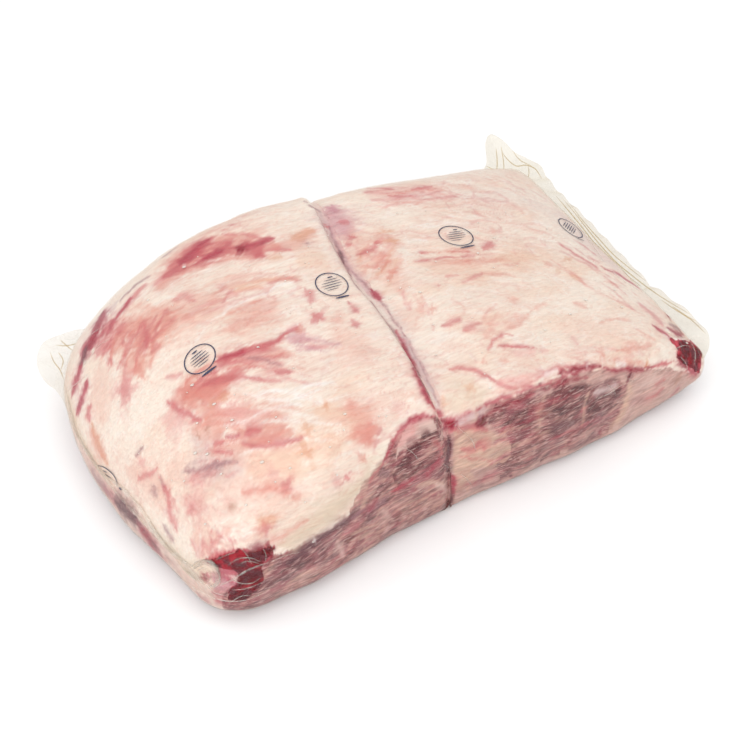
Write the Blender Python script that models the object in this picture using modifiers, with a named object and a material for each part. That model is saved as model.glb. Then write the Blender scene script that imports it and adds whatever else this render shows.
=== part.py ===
"""Two raw bone-in pork butts, side by side in one clear shrink bag that lies skin-tight on them.

Each butt is a closed cushion: an upper skin that rolls over from its crown down to a rim,
and an under skin that rolls in from the rim to a flat resting face. The two press together
at a leaning parting. At each end of the pack the bag leaves the meat as a sealed band of
film with folded ears at its corners.
Metres, +Z up, +X along the pack from the thick left butt to the thin right one.
"""

import math

import bmesh
import bpy
import numpy as np

# Driving dimensions, in metres
PACK_CENTRE = (-0.0104, 0.0072, 0.0)
LEFT_CROWN = 0.1075
RIGHT_CROWN = 0.0955
CORNER_RADIUS = {"left": (0.028, 0.050), "right": (0.012, 0.012)}
TOUCH_GAP = 0.0003
PARTING_LEAN = -0.06
PARTING_MID_HEIGHT = 0.072
PARTING_PRESS = 0.0027
PARTING_ROLL = 0.0135
PARTING_SQUARENESS = 3.0
END_ROLL = {"left": 0.099, "right": 0.056}
END_SQUARENESS = {"left": 2.1, "right": 2.4}
UNDER_ROLL = 0.0145
UNDER_PARTING_ROLL = 0.006
UNDER_SQUARENESS = 2.6
LIFTED_CORNER = {"left": ((-0.165, -0.142), (0.055, 0.030)), "right": ((0.195, -0.120), (0.045, 0.045))}
LIFTED_CORNER_ROLL = 0.020
UNDER_END_ROLL = {"left": 0.0240, "right": 0.0305}
REST_CENTRE = {"left": (-0.1125, -0.007), "right": (0.081, -0.0045)}
UNDER_RINGS = 2
CUT_FACE_TOP = -0.100
CUT_FACE_FADE = 0.015
MUSCLE_LUMP = 0.022
MUSCLE_DEPTH = 0.005
SEAL_THICKNESS = 0.0010
SEAL_SMOOTHING = 3
SEAL_RUFFLE = 0.0016
SEAL_FULL_RUFFLE_WIDTH = 0.010
SEAL_RUFFLE_LENGTH = 0.021
SEAL_RUFFLE_SKEW = 2.0
SEAL_LEAST_CURL = 0.001
SEAL_START = {"left": 0.066, "right": 0.015}
SEAL_INSET = {"left": ((0, 0.013), (0.5, 0.013), (0.9, 0.011), (1, 0.0)),
              "right": ((0, 0.022), (0.08, 0.018), (0.3, 0.0), (1, 0.0))}
SEAL_FAR_RUN = {"left": 0.006, "right": 0.20}

# How finely each piece is divided: spans along and across
BUTT_SPANS = {"left": (24, 20), "right": (22, 20)}
SEAL_SPANS = {"left": (56, 3), "right": (72, 4)}

# Finishes: linear colours and roughness
MEAT_COLOUR = {"left": (0.80, 0.56, 0.48), "right": (0.82, 0.60, 0.50)}
MEAT_ROUGHNESS = 0.35
FILM_COLOUR = (0.86, 0.83, 0.74)
FILM_ROUGHNESS = 0.18

# Plan outline as (station, edge) pairs: the near, far, left and right edges of the pack
NEAR_EDGE = ((-0.220, -0.136), (-0.180, -0.139), (-0.126, -0.138), (-0.081, -0.132),
             (-0.036, -0.128), (0.072, -0.130), (0.135, -0.128), (0.192, -0.121))
FAR_EDGE = ((-0.2205, 0.1115), (-0.162, 0.124), (-0.090, 0.1315), (-0.018, 0.1300),
            (0.045, 0.1265), (0.090, 0.1235), (0.153, 0.1225), (0.192, 0.122))
LEFT_EDGE = ((-0.140, -0.195), (-0.090, -0.205), (-0.036, -0.2180), (0.027, -0.222),
             (0.081, -0.214), (0.125, -0.200))
RIGHT_EDGE = ((-0.130, 0.196), (-0.108, 0.190), (-0.072, 0.186), (0.000, 0.184),
              (0.063, 0.187), (0.122, 0.191))
PARTING_EDGE = ((-0.133, -0.0295), (-0.099, -0.026), (-0.054, -0.021), (-0.018, -0.0185),
                (0.009, -0.0185), (0.045, -0.0135), (0.090, -0.0055), (0.126, -0.0027))

# Height of the rim, where the upper skin meets the under skin, along each edge
RIM_NEAR = ((-0.220, 0.0235), (-0.126, 0.0215), (0.000, 0.0215), (0.108, 0.022), (0.192, 0.024))
RIM_FAR = ((-0.2205, 0.0305), (-0.126, 0.029), (0.045, 0.028), (0.190, 0.036))
RIM_LEFT = ((-0.142, 0.0235), (0.000, 0.025), (0.125, 0.0325))
RIM_RIGHT = ((-0.130, 0.025), (-0.108, 0.034), (-0.054, 0.042), (0.122, 0.040))
RIM_BLEND = {"end": 0.020, "near": 0.004, "far": 0.004}
UNDER_BLEND = {"end": 0.006, "near": 0.006, "far": 0.006, "parting": 0.006}

# How each top falls away from its crown: (where the fall starts, its curvature in 1/m)
LEFT_FALL_TO_END = (-0.090, 1.00)
LEFT_FALL_TO_NEAR = (-0.020, 0.70)
LEFT_FALL_TO_FAR_CORNER = ((-0.050, 0.020), 1.20)
RIGHT_SLOPE = (0.020, 0.15)
RIGHT_FALL_TO_END = (0.050, 0.70)
RIGHT_FALL_TO_NEAR = (-0.020, 0.50)

# Soft swells and hollows of the tops: (centre, half-widths, turn in degrees, height)
SWELLS = {
    "left": (((-0.010, 0.020), (0.027, 0.180), 0, -0.0060),
             ((-0.150, 0.030), (0.040, 0.060), 20, 0.0020),
             ((-0.075, -0.045), (0.060, 0.016), 25, -0.0016),
             ((-0.120, 0.080), (0.030, 0.020), -20, -0.0015)),
    "right": (((0.060, -0.055), (0.045, 0.022), 15, 0.0020),
              ((0.040, 0.040), (0.022, 0.050), 10, -0.0018),
              ((0.120, 0.020), (0.045, 0.030), -20, -0.0016)),
}

# Radius over which the near and the far wall roll up into the top, along the pack
NEAR_ROLL = ((-0.220, 0.068), (-0.162, 0.056), (-0.100, 0.046), (-0.045, 0.044),
             (0.000, 0.027), (0.099, 0.025), (0.190, 0.040))
FAR_ROLL = ((-0.220, 0.062), (-0.150, 0.052), (-0.070, 0.045), (0.000, 0.042), (0.190, 0.042))
NEAR_SQUARENESS = 2.6
FAR_SQUARENESS = 2.2

# Sealed bands: (distance from the near side, width, curl in radians, lean towards the near side)
SEAL_BANDS = {
    "left": ((0.000, 0.006, 2.4, 0.0), (0.009, 0.012, 2.6, 0.2), (0.020, 0.005, 1.0, 0.0),
             (0.040, 0.0035, 0.3, 0.0), (0.149, 0.0035, 0.2, 0.0), (0.187, 0.006, -0.1, 0.0),
             (0.209, 0.018, 0.1, 0.1), (0.223, 0.023, 0.2, 0.1), (0.239, 0.019, 0.3, 0.0),
             (0.255, 0.006, 0.2, 0.0), (0.289, 0.003, 0.2, 0.0)),
    "right": ((0.000, 0.003, 0.0, 0.0), (0.012, 0.010, 0.1, -0.6), (0.026, 0.014, 0.1, -0.5),
              (0.050, 0.012, 0.1, 0.0), (0.080, 0.008, 0.1, 0.0), (0.160, 0.008, 0.2, 0.0),
              (0.210, 0.011, 0.3, 0.0), (0.228, 0.015, 0.5, 0.0), (0.240, 0.020, 0.6, 0.0),
              (0.250, 0.036, 0.7, 0.0), (0.260, 0.020, 0.6, 0.0), (0.275, 0.009, 0.3, 0.0),
              (0.310, 0.002, 0.1, 0.0)),
}


def along(stations, at):
    """A smooth line through a few (station, value) pairs, by cubic Hermite spans."""
    place, value = np.array(stations, dtype=float).T
    slope = np.gradient(value, place)
    at = np.clip(at, place[0], place[-1])
    span = np.clip(np.searchsorted(place, at, side="right") - 1, 0, len(place) - 2)
    width = place[span + 1] - place[span]
    t = (at - place[span]) / width
    start = (2 * t**3 - 3 * t**2 + 1) * value[span] + (t**3 - 2 * t**2 + t) * width * slope[span]
    end = (3 * t**2 - 2 * t**3) * value[span + 1] + (t**3 - t**2) * width * slope[span + 1]
    return start + end


def roll_over(inset, radius, squareness):
    """Rise of a rounded edge, from 0 on the rim to 1 at one radius inside it."""
    left_over = 1 - np.clip(inset / radius, 0, 1)
    return (1 - left_over**squareness) ** (1 / squareness)


def swell(x, y, centre, reach, turn=0):
    """A soft mound of height 1; reach holds its two half-widths, turn is in degrees."""
    c, s = math.cos(math.radians(turn)), math.sin(math.radians(turn))
    lengthwise = (x - centre[0]) * c + (y - centre[1]) * s
    across = (y - centre[1]) * c - (x - centre[0]) * s
    return np.exp(-((lengthwise / reach[0]) ** 2) - (across / reach[1]) ** 2)


def crowded(count):
    """Parameters from 0 to 1, closer together at both ends, where the walls are steep."""
    return 0.5 - 0.5 * np.cos(np.pi * np.arange(count + 1) / count)


def parting(y, z):
    """Where the two butts meet: a line across the pack that leans with height."""
    return along(PARTING_EDGE, y) + PARTING_LEAN * (z - PARTING_MID_HEIGHT)


def past(value, start):
    """How far a value has gone beyond its start, never less than nothing."""
    return np.clip(value - start, 0, None)


def top_height(side, x, y):
    """Height of a butt's top before its edges roll over: a crown, its falls and its swells."""
    if side == "left":
        (corner_x, corner_y), corner_fall = LEFT_FALL_TO_FAR_CORNER
        height = LEFT_CROWN - LEFT_FALL_TO_END[1] * past(-x, -LEFT_FALL_TO_END[0]) ** 2
        height = height - LEFT_FALL_TO_NEAR[1] * past(-y, -LEFT_FALL_TO_NEAR[0]) ** 2
        height = height - corner_fall * past(-x, -corner_x) * past(y, corner_y)
    else:
        height = RIGHT_CROWN - RIGHT_SLOPE[1] * past(x, RIGHT_SLOPE[0])
        height = height - RIGHT_FALL_TO_END[1] * past(x, RIGHT_FALL_TO_END[0]) ** 2
        height = height - RIGHT_FALL_TO_NEAR[1] * past(-y, -RIGHT_FALL_TO_NEAR[0]) ** 2
    for centre, reach, turn, rise in SWELLS[side]:
        height = height + rise * swell(x, y, centre, reach, turn)
    return height


def corner_cut(inset, radius):
    """How far a round corner in plan draws the end in, at this inset from the side."""
    return radius * (1 - np.sqrt(1 - (1 - np.clip(inset / radius, 0, 1)) ** 2))


def plan_point(side, u, v, z):
    """Plan position for u from the outer end (0) to the parting (1) and v from near to far.

    Each position depends on the curved edges beside it, so it is settled in a few rounds.
    """
    edge = LEFT_EDGE if side == "left" else RIGHT_EDGE
    outward = -1 if side == "left" else 1
    near_radius, far_radius = CORNER_RADIUS[side]
    near, far = NEAR_EDGE[4][1], FAR_EDGE[3][1]
    mid_width = far - near
    rounding = corner_cut(v * mid_width, near_radius) + corner_cut((1 - v) * mid_width, far_radius)
    for _ in range(4):
        y = near + v * (far - near)
        outer = along(edge, y) - outward * rounding
        meet = parting(y, z) - outward * PARTING_PRESS
        x = outer + u * (meet - outer)
        near, far = along(NEAR_EDGE, x), along(FAR_EDGE, x)
    y = near + v * (far - near)
    inset = {"end": np.abs(x - outer), "parting": np.abs(meet - x), "near": y - near, "far": far - y}
    return x, y, inset


def by_nearness(inset, values, softness):
    """A value stated at some edges of the butt, blended between them by nearness."""
    weights = {edge: 1 / (inset[edge] + softness[edge]) ** 2 for edge in values}
    return sum(values[edge] * weights[edge] for edge in values) / sum(weights.values())


def rim_height(side, x, y, inset):
    """Height of the rim, blended from its heights along the end, near and far edges."""
    end = along(RIM_LEFT if side == "left" else RIM_RIGHT, y)
    heights = {"end": end, "near": along(RIM_NEAR, x), "far": along(RIM_FAR, x)}
    return by_nearness(inset, heights, RIM_BLEND)


def upper_skin(side, u, v):
    """The butt's top and upper walls as a function of u and v."""
    z = np.full(np.broadcast(u, v).shape, PARTING_MID_HEIGHT)
    for _ in range(3):
        x, y, inset = plan_point(side, u, v, z)
        rim = rim_height(side, x, y, inset)
        rise = roll_over(inset["end"], END_ROLL[side], END_SQUARENESS[side])
        rise = rise * roll_over(inset["parting"], PARTING_ROLL, PARTING_SQUARENESS)
        rise = rise * roll_over(inset["near"], along(NEAR_ROLL, x), NEAR_SQUARENESS)
        rise = rise * roll_over(inset["far"], along(FAR_ROLL, x), FAR_SQUARENESS)
        z = rim + (top_height(side, x, y) - rim) * rise
    stop = parting(y, z) + (-0.5 if side == "left" else 0.5) * TOUCH_GAP
    x = np.minimum(x, stop) if side == "left" else np.maximum(x, stop)
    return np.stack([x, y, z], axis=-1)


def under_skin(side, u, v, turn):
    """The walls below the rim: turn goes from 0 on the rim to 1 on the resting face."""
    rim_point = upper_skin(side, u, v)
    x, y, z = np.moveaxis(rim_point, -1, 0)
    _, _, inset = plan_point(side, u, v, z)
    rolls = {"end": UNDER_END_ROLL[side], "near": UNDER_ROLL, "far": UNDER_ROLL,
             "parting": UNDER_PARTING_ROLL}
    radius = by_nearness(inset, rolls, UNDER_BLEND)
    radius = radius + LIFTED_CORNER_ROLL * swell(x, y, *LIFTED_CORNER[side])
    sine, cosine = math.sin(turn * math.pi / 2), math.cos(turn * math.pi / 2)
    inward = np.array(REST_CENTRE[side]) - rim_point[..., :2]
    inward = inward / np.linalg.norm(inward, axis=-1, keepdims=True)
    drawn_in = radius * (1 - max(cosine, 0.0) ** (2 / UNDER_SQUARENESS))
    plan = rim_point[..., :2] + inward * drawn_in[..., None]
    height = z * (1 - sine ** (2 / UNDER_SQUARENESS))
    return np.concatenate([plan, height[..., None]], axis=-1)


def rim_loop(count_u, count_v):
    """The u and v of the rim's points, once round the butt."""
    u, v = crowded(count_u), crowded(count_v)
    loop_u = np.concatenate([u[:-1], np.ones(count_v), u[:0:-1], np.zeros(count_v)])
    loop_v = np.concatenate([np.zeros(count_u), v[:-1], np.ones(count_u), v[:0:-1]])
    return loop_u, loop_v


def grid_faces(number):
    """The four-sided faces of a grid of numbered points."""
    corners = (number[:-1, :-1], number[1:, :-1], number[1:, 1:], number[:-1, 1:])
    return [tuple(face) for face in np.stack(corners, axis=-1).reshape(-1, 4).tolist()]


def butt_cage(side, count_u, count_v):
    """Points and faces of one butt: the upper skin, rings below the rim and the resting face."""
    u, v = np.meshgrid(crowded(count_u), crowded(count_v), indexing="ij")
    points = [upper_skin(side, u, v).reshape(-1, 3)]
    number = np.arange(u.size).reshape(u.shape)
    faces = grid_faces(number)
    loop_u, loop_v = rim_loop(count_u, count_v)
    rings = [np.concatenate([number[:-1, 0], number[-1, :-1], number[:0:-1, -1], number[0, :0:-1]])]
    for step in range(UNDER_RINGS):
        points.append(under_skin(side, loop_u, loop_v, (step + 1) / UNDER_RINGS))
        rings.append(number.size + step * len(loop_u) + np.arange(len(loop_u)))
    closed = np.stack([np.append(ring, ring[0]) for ring in rings])
    faces += grid_faces(closed)
    faces.append(tuple(rings[-1][::-1].tolist()))
    if side == "right":
        faces = [face[::-1] for face in faces]
    return np.concatenate(points), faces, set(rings[-1].tolist())


def finish(name, colour, roughness):
    """A plain Principled material."""
    material = bpy.data.materials.new(name)
    material.use_nodes = True
    shader = material.node_tree.nodes["Principled BSDF"]
    shader.inputs["Base Color"].default_value = (*colour, 1.0)
    shader.inputs["Roughness"].default_value = roughness
    shader.inputs["Metallic"].default_value = 0.0
    return material


def new_piece(collection, name, points, faces, material):
    """A mesh object of its own in the pack's collection, with the pack centred on the origin."""
    mesh = bpy.data.meshes.new(name)
    mesh.from_pydata((points - np.array(PACK_CENTRE)).tolist(), [], faces)
    mesh.shade_smooth()
    mesh.materials.append(material)
    piece = bpy.data.objects.new(name, mesh)
    collection.objects.link(piece)
    return piece


def keep_rest_face_flat(butt, rest_ring):
    """Crease the resting face's outline, so that smoothing leaves the face level."""
    shape = bmesh.new()
    shape.from_mesh(butt.data)
    crease = shape.edges.layers.float.new("crease_edge")
    for edge in shape.edges:
        if all(vertex.index in rest_ring for vertex in edge.verts):
            edge[crease] = 1.0
    shape.to_mesh(butt.data)
    shape.free()


def cut_face_weight(points):
    """1 on the cut muscle of the near wall, 0 on the top, the parting and the resting face."""
    x, y, z = points.T
    near = past(CUT_FACE_TOP, y) / CUT_FACE_FADE
    off_parting = past(np.abs(x - parting(y, z)), TOUCH_GAP + MUSCLE_DEPTH) / CUT_FACE_FADE
    return np.clip(near, 0, 1) * np.clip(z / CUT_FACE_FADE, 0, 1) * np.clip(off_parting, 0, 1)


def add_butt(collection, side):
    """One butt: a coarse cage, smoothed, with the lumps of its cut muscle on the near wall."""
    points, faces, rest_ring = butt_cage(side, *BUTT_SPANS[side])
    name = f"pork_butt_{side}"
    meat = finish(f"{name}_meat", MEAT_COLOUR[side], MEAT_ROUGHNESS)
    butt = new_piece(collection, name, points, faces, meat)
    keep_rest_face_flat(butt, rest_ring)
    cut_face = butt.vertex_groups.new(name="cut_face")
    for index, weight in enumerate(cut_face_weight(points).tolist()):
        cut_face.add([index], weight, "REPLACE")
    smooth = butt.modifiers.new("smooth", "SUBSURF")
    smooth.levels = smooth.render_levels = 1
    muscle = bpy.data.textures.new(f"{name}_muscle", "CLOUDS")
    muscle.noise_scale = MUSCLE_LUMP
    lumps = butt.modifiers.new("muscle_lumps", "DISPLACE")
    lumps.texture = muscle
    lumps.strength = MUSCLE_DEPTH
    lumps.mid_level = 0.5
    lumps.vertex_group = "cut_face"


def even_spacing(line, count):
    """The same line with its points evenly spaced, and each point's distance along it."""
    steps = np.linalg.norm(np.diff(line, axis=0), axis=1)
    distance = np.concatenate([[0.0], np.cumsum(steps)])
    even = np.linspace(0, distance[-1], count)
    return np.stack([np.interp(even, distance, line[:, axis]) for axis in range(3)], axis=1), even


def seal_path(side, count):
    """The line where the bag leaves the meat: round one end and a little way along the far side."""
    fine = crowded(200)
    v = SEAL_START[side] + (1 - SEAL_START[side]) * fine
    line = upper_skin(side, along(SEAL_INSET[side], v), v)
    far_run = upper_skin(side, SEAL_FAR_RUN[side] * fine, np.ones_like(fine))
    return even_spacing(np.concatenate([line[:-1], far_run]), count)


def outward_in_plan(line, reach):
    """Level directions square to the line, pointing off the meat and smoothed along it."""
    tangent = np.gradient(line[:, :2], axis=0)
    across = np.stack([tangent[:, 1], -tangent[:, 0]], axis=1)
    off_meat = np.sum(across * (line[:, :2] - line[:, :2].mean(axis=0)))
    window = np.hanning(2 * reach + 3)[1:-1]
    padded = np.pad(across * np.sign(off_meat), ((reach, reach), (0, 0)), mode="edge")
    smooth = np.stack([np.convolve(padded[:, axis], window, mode="valid") for axis in range(2)], axis=1)
    return smooth / np.linalg.norm(smooth, axis=1, keepdims=True)


def seal_surface(side, count, rows):
    """The band's middle surface, as a grid: distance round the end by distance out from the meat.

    Across its width the band follows an arc, curl being the angle that the arc turns through.
    """
    line, distance = seal_path(side, count)
    outward = outward_in_plan(line, SEAL_SMOOTHING)
    columns = list(zip(*SEAL_BANDS[side]))
    width, curl, lean = (
        along(list(zip(columns[0], column)), distance)[:, None] for column in columns[1:]
    )
    curl = curl + SEAL_LEAST_CURL
    out = np.linspace(0, 1, rows + 1)[None, :]
    reach = TOUCH_GAP + 0.5 * SEAL_THICKNESS + width * np.sin(curl * out) / curl
    ruffle = SEAL_RUFFLE * np.minimum(width / SEAL_FULL_RUFFLE_WIDTH, 1) * out
    wave = np.sin(2 * math.pi * distance[:, None] / SEAL_RUFFLE_LENGTH + SEAL_RUFFLE_SKEW * out)
    rise = width * (1 - np.cos(curl * out)) / curl + ruffle * wave
    lengthwise = np.stack([-outward[:, 1], outward[:, 0]], axis=1)
    plan = line[:, None, :2] + outward[:, None, :] * reach[..., None]
    plan = plan + lengthwise[:, None, :] * (lean * width * out)[..., None]
    return np.concatenate([plan, (line[:, None, 2] + rise)[..., None]], axis=2)


def add_seal(collection, side):
    """A band of sealed film round one end: it leaves the meat level, then ruffles and curls."""
    count, rows = SEAL_SPANS[side]
    surface = seal_surface(side, count, rows)
    number = np.arange(count * (rows + 1)).reshape(count, rows + 1)
    name = f"bag_end_seal_{side}"
    film = finish(f"{name}_film", FILM_COLOUR, FILM_ROUGHNESS)
    seal = new_piece(collection, name, surface.reshape(-1, 3), grid_faces(number), film)
    wall = seal.modifiers.new("two_layers", "SOLIDIFY")
    wall.thickness = SEAL_THICKNESS
    wall.offset = 0.0


def main():
    for old in list(bpy.data.objects):
        bpy.data.objects.remove(old, do_unlink=True)
    pack = bpy.data.collections.new("pork_butt_pack")
    bpy.context.scene.collection.children.link(pack)
    for side in ("left", "right"):
        add_butt(pack, side)
        add_seal(pack, side)


if __name__ == "__main__":
    main()
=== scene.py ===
"""Two raw bone-in pork butts, side by side in one clear shrink bag that lies skin-tight on them.

Metres, +Z up, +X along the pack from the thick left butt to the thin right one. The sections
follow the pack as it is put together: the meat, its juice, the bag's film, the sealed bands at
both ends and the stamped marks. The studio comes last.
"""

import math

import bpy
import numpy as np
from mathutils import Matrix, Vector
from mathutils.bvhtree import BVHTree


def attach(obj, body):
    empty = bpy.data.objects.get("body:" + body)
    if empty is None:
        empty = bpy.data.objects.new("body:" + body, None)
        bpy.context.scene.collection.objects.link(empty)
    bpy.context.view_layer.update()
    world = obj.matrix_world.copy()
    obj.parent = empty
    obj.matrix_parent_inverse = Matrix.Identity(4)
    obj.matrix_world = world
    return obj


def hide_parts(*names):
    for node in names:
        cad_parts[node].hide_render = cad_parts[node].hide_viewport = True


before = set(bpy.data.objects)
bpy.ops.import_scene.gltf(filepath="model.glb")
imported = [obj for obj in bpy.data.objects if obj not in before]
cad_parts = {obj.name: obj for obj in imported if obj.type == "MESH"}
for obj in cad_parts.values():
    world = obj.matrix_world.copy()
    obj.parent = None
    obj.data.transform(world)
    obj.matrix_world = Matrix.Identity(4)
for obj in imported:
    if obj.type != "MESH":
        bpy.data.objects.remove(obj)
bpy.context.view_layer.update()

# ---------------------------------------------------------------------------------------------
# Camera. It looks down over the pack's near side, turned towards its left end, as the
# photograph does. Marks that are read off the photograph reach the pack along its sight lines.

CAMERA_PLACE = np.array((-0.3050, -0.5450, 0.6613))
CAMERA_AZIMUTH = math.radians(-29.5)
CAMERA_ELEVATION = math.radians(46.5)
LENS_MM = 60.0
SENSOR_MM = 36.0
IMAGE_SIDE = 748

sight_back = np.array((math.sin(CAMERA_AZIMUTH) * math.cos(CAMERA_ELEVATION),
                       -math.cos(CAMERA_AZIMUTH) * math.cos(CAMERA_ELEVATION),
                       math.sin(CAMERA_ELEVATION)))
sight_right = np.array((math.cos(CAMERA_AZIMUTH), math.sin(CAMERA_AZIMUTH), 0.0))
sight_up = np.cross(sight_back, sight_right)

camera_data = bpy.data.cameras.new("camera")
camera_data.lens = LENS_MM
camera_data.sensor_width = SENSOR_MM
camera_data.clip_start = 0.01
camera = bpy.data.objects.new("camera", camera_data)
camera.matrix_world = Matrix.Translation(CAMERA_PLACE) @ Matrix(
    np.stack([sight_right, sight_up, sight_back], axis=1).tolist()).to_4x4()
bpy.context.scene.collection.objects.link(camera)
bpy.context.scene.camera = camera


def unit(vectors):
    """The same directions at a length of one."""
    return vectors / np.maximum(np.linalg.norm(vectors, axis=-1, keepdims=True), 1e-12)


def sight_lines(pixels):
    """Unit directions from the camera through pixels of the photograph."""
    offset = (np.asarray(pixels, dtype=float) - IMAGE_SIDE / 2) / (LENS_MM / SENSOR_MM * IMAGE_SIDE)
    return unit(offset[:, :1] * sight_right - offset[:, 1:] * sight_up - sight_back)


# ---------------------------------------------------------------------------------------------
# Pork butts. Each is a shoulder cut with its fat cap up and its cut muscle at the near wall,
# pressed by the vacuum against its neighbour. Its skin is a rolled-over upper surface, a wall
# that turns in under its rim, and a flat resting face.

PACK_CENTRE = np.array((-0.0104, 0.0072, 0.0))
CROWN = {"left": 0.1075, "right": 0.0955}
CORNER_RADIUS = {"left": (0.028, 0.050), "right": (0.012, 0.012)}
TOUCH_GAP = 0.0003
PARTING_LEAN = -0.06
PARTING_MID_HEIGHT = 0.072
PARTING_PRESS = 0.0027
PARTING_ROLL = 0.0100
PARTING_SQUARENESS = 3.0
END_ROLL = {"left": 0.099, "right": 0.056}
END_SQUARENESS = {"left": 2.1, "right": 2.4}
NEAR_SQUARENESS = 2.6
FAR_SQUARENESS = 2.2
UNDER_SQUARENESS = 2.6
UNDER_ROLLS = {"left": {"end": 0.0240, "near": 0.0145, "far": 0.0145, "parting": 0.006},
               "right": {"end": 0.0305, "near": 0.0145, "far": 0.0145, "parting": 0.006}}
UNDER_SOFTNESS = {"end": 0.006, "near": 0.006, "far": 0.006, "parting": 0.006}
RIM_SOFTNESS = {"end": 0.020, "near": 0.004, "far": 0.004}
LIFTED_CORNER = {"left": ((-0.165, -0.142), (0.055, 0.030), 0, 0.020),
                 "right": ((0.195, -0.120), (0.045, 0.045), 0, 0.020)}
REST_CENTRE = {"left": (-0.1125, -0.007), "right": (0.081, -0.0045)}

# Plan outline, rim heights and edge rolls as (station, value) pairs along each edge
NEAR_EDGE = ((-0.220, -0.136), (-0.180, -0.139), (-0.126, -0.138), (-0.081, -0.132),
             (-0.036, -0.128), (0.072, -0.130), (0.135, -0.128), (0.192, -0.121))
FAR_EDGE = ((-0.2205, 0.1115), (-0.162, 0.124), (-0.090, 0.1315), (-0.018, 0.1300),
            (0.045, 0.1265), (0.090, 0.1235), (0.153, 0.1225), (0.192, 0.122))
END_EDGE = {"left": ((-0.140, -0.195), (-0.090, -0.205), (-0.036, -0.2180), (0.027, -0.222),
                     (0.081, -0.214), (0.125, -0.200)),
            "right": ((-0.130, 0.196), (-0.108, 0.190), (-0.072, 0.186), (0.000, 0.184),
                      (0.063, 0.187), (0.122, 0.191))}
PARTING_EDGE = ((-0.133, -0.0295), (-0.099, -0.026), (-0.054, -0.021), (-0.018, -0.0185),
                (0.009, -0.0185), (0.045, -0.0135), (0.090, -0.0055), (0.126, -0.0027))
NEAR_RIM = ((-0.220, 0.0235), (-0.126, 0.0215), (0.000, 0.0215), (0.108, 0.022), (0.192, 0.024))
FAR_RIM = ((-0.2205, 0.0305), (-0.126, 0.029), (0.045, 0.028), (0.190, 0.036))
END_RIM = {"left": ((-0.142, 0.0235), (0.000, 0.025), (0.125, 0.0325)),
           "right": ((-0.130, 0.025), (-0.108, 0.034), (-0.054, 0.042), (0.122, 0.040))}
NEAR_ROLL = ((-0.220, 0.068), (-0.162, 0.056), (-0.100, 0.046), (-0.045, 0.044),
             (0.000, 0.027), (0.099, 0.025), (0.190, 0.040))
FAR_ROLL = ((-0.220, 0.062), (-0.150, 0.052), (-0.070, 0.045), (0.000, 0.042), (0.190, 0.042))

# How each top falls away from its crown: where the fall starts, and its curvature in 1/m
FALL_TO_END = {"left": (0.090, 1.00), "right": (0.050, 0.70)}
FALL_TO_NEAR = {"left": (0.020, 0.70), "right": (0.020, 0.50)}
FALL_TO_FAR_CORNER = (0.050, 0.020, 1.20)
RIGHT_SLOPE = (0.020, 0.15)
SWELLS = {
    "left": (((-0.010, 0.020), (0.027, 0.180), 0, -0.0060),
             ((-0.150, 0.030), (0.040, 0.060), 20, 0.0020),
             ((-0.075, -0.045), (0.060, 0.016), 25, -0.0016),
             ((-0.120, 0.080), (0.030, 0.020), -20, -0.0015)),
    "right": (((0.060, -0.055), (0.045, 0.022), 15, 0.0020),
              ((0.040, 0.040), (0.022, 0.050), 10, -0.0018),
              ((0.120, 0.020), (0.045, 0.030), -20, -0.0016)),
}

# How finely the skin is divided: spans of the upper surface, rings of the wall and of the base
UPPER_SPANS = (270, 264)
WALL_RINGS = 10
BASE_RINGS = 14
BASE_CROWDING = 1.15


def along(stations, at):
    """A smooth line through a few (station, value) pairs, by cubic Hermite spans."""
    place, value = np.array(stations, dtype=float).T
    slope = np.gradient(value, place)
    at = np.clip(at, place[0], place[-1])
    span = np.clip(np.searchsorted(place, at, side="right") - 1, 0, len(place) - 2)
    width = place[span + 1] - place[span]
    t = (at - place[span]) / width
    start = (2 * t**3 - 3 * t**2 + 1) * value[span] + (t**3 - 2 * t**2 + t) * width * slope[span]
    end = (3 * t**2 - 2 * t**3) * value[span + 1] + (t**3 - t**2) * width * slope[span + 1]
    return start + end


def roll_over(inset, radius, squareness):
    """Rise of a rounded edge, from 0 on the rim to 1 at one radius inside it."""
    return (1 - (1 - np.clip(inset / radius, 0, 1)) ** squareness) ** (1 / squareness)


def swell(x, y, centre, reach, turn, rise):
    """A soft mound: a Gaussian with two half-widths, turned by some degrees, times its rise."""
    c, s = math.cos(math.radians(turn)), math.sin(math.radians(turn))
    lengthwise = (x - centre[0]) * c + (y - centre[1]) * s
    across = (y - centre[1]) * c - (x - centre[0]) * s
    return rise * np.exp(-((lengthwise / reach[0]) ** 2) - (across / reach[1]) ** 2)


def past(value, start):
    """How far a value has gone beyond its start, never less than nothing."""
    return np.clip(value - start, 0, None)


def parting(y, z):
    """Where the two butts meet: a line across the pack that leans with height."""
    return along(PARTING_EDGE, y) + PARTING_LEAN * (z - PARTING_MID_HEIGHT)


def top_height(side, x, y):
    """Height of a butt's top before its edges roll over: crown less falls, plus swells."""
    outward = -1 if side == "left" else 1
    height = CROWN[side] - FALL_TO_END[side][1] * past(outward * x, FALL_TO_END[side][0]) ** 2
    height = height - FALL_TO_NEAR[side][1] * past(-y, FALL_TO_NEAR[side][0]) ** 2
    if side == "left":
        from_x, from_y, fall = FALL_TO_FAR_CORNER
        height = height - fall * past(-x, from_x) * past(y, from_y)
    else:
        height = height - RIGHT_SLOPE[1] * past(x, RIGHT_SLOPE[0])
    return height + sum(swell(x, y, *mound) for mound in SWELLS[side])


def corner_cut(inset, radius):
    """How far a round corner in plan draws the end in, at this inset from the side."""
    return radius * (1 - np.sqrt(1 - (1 - np.clip(inset / radius, 0, 1)) ** 2))


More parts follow.
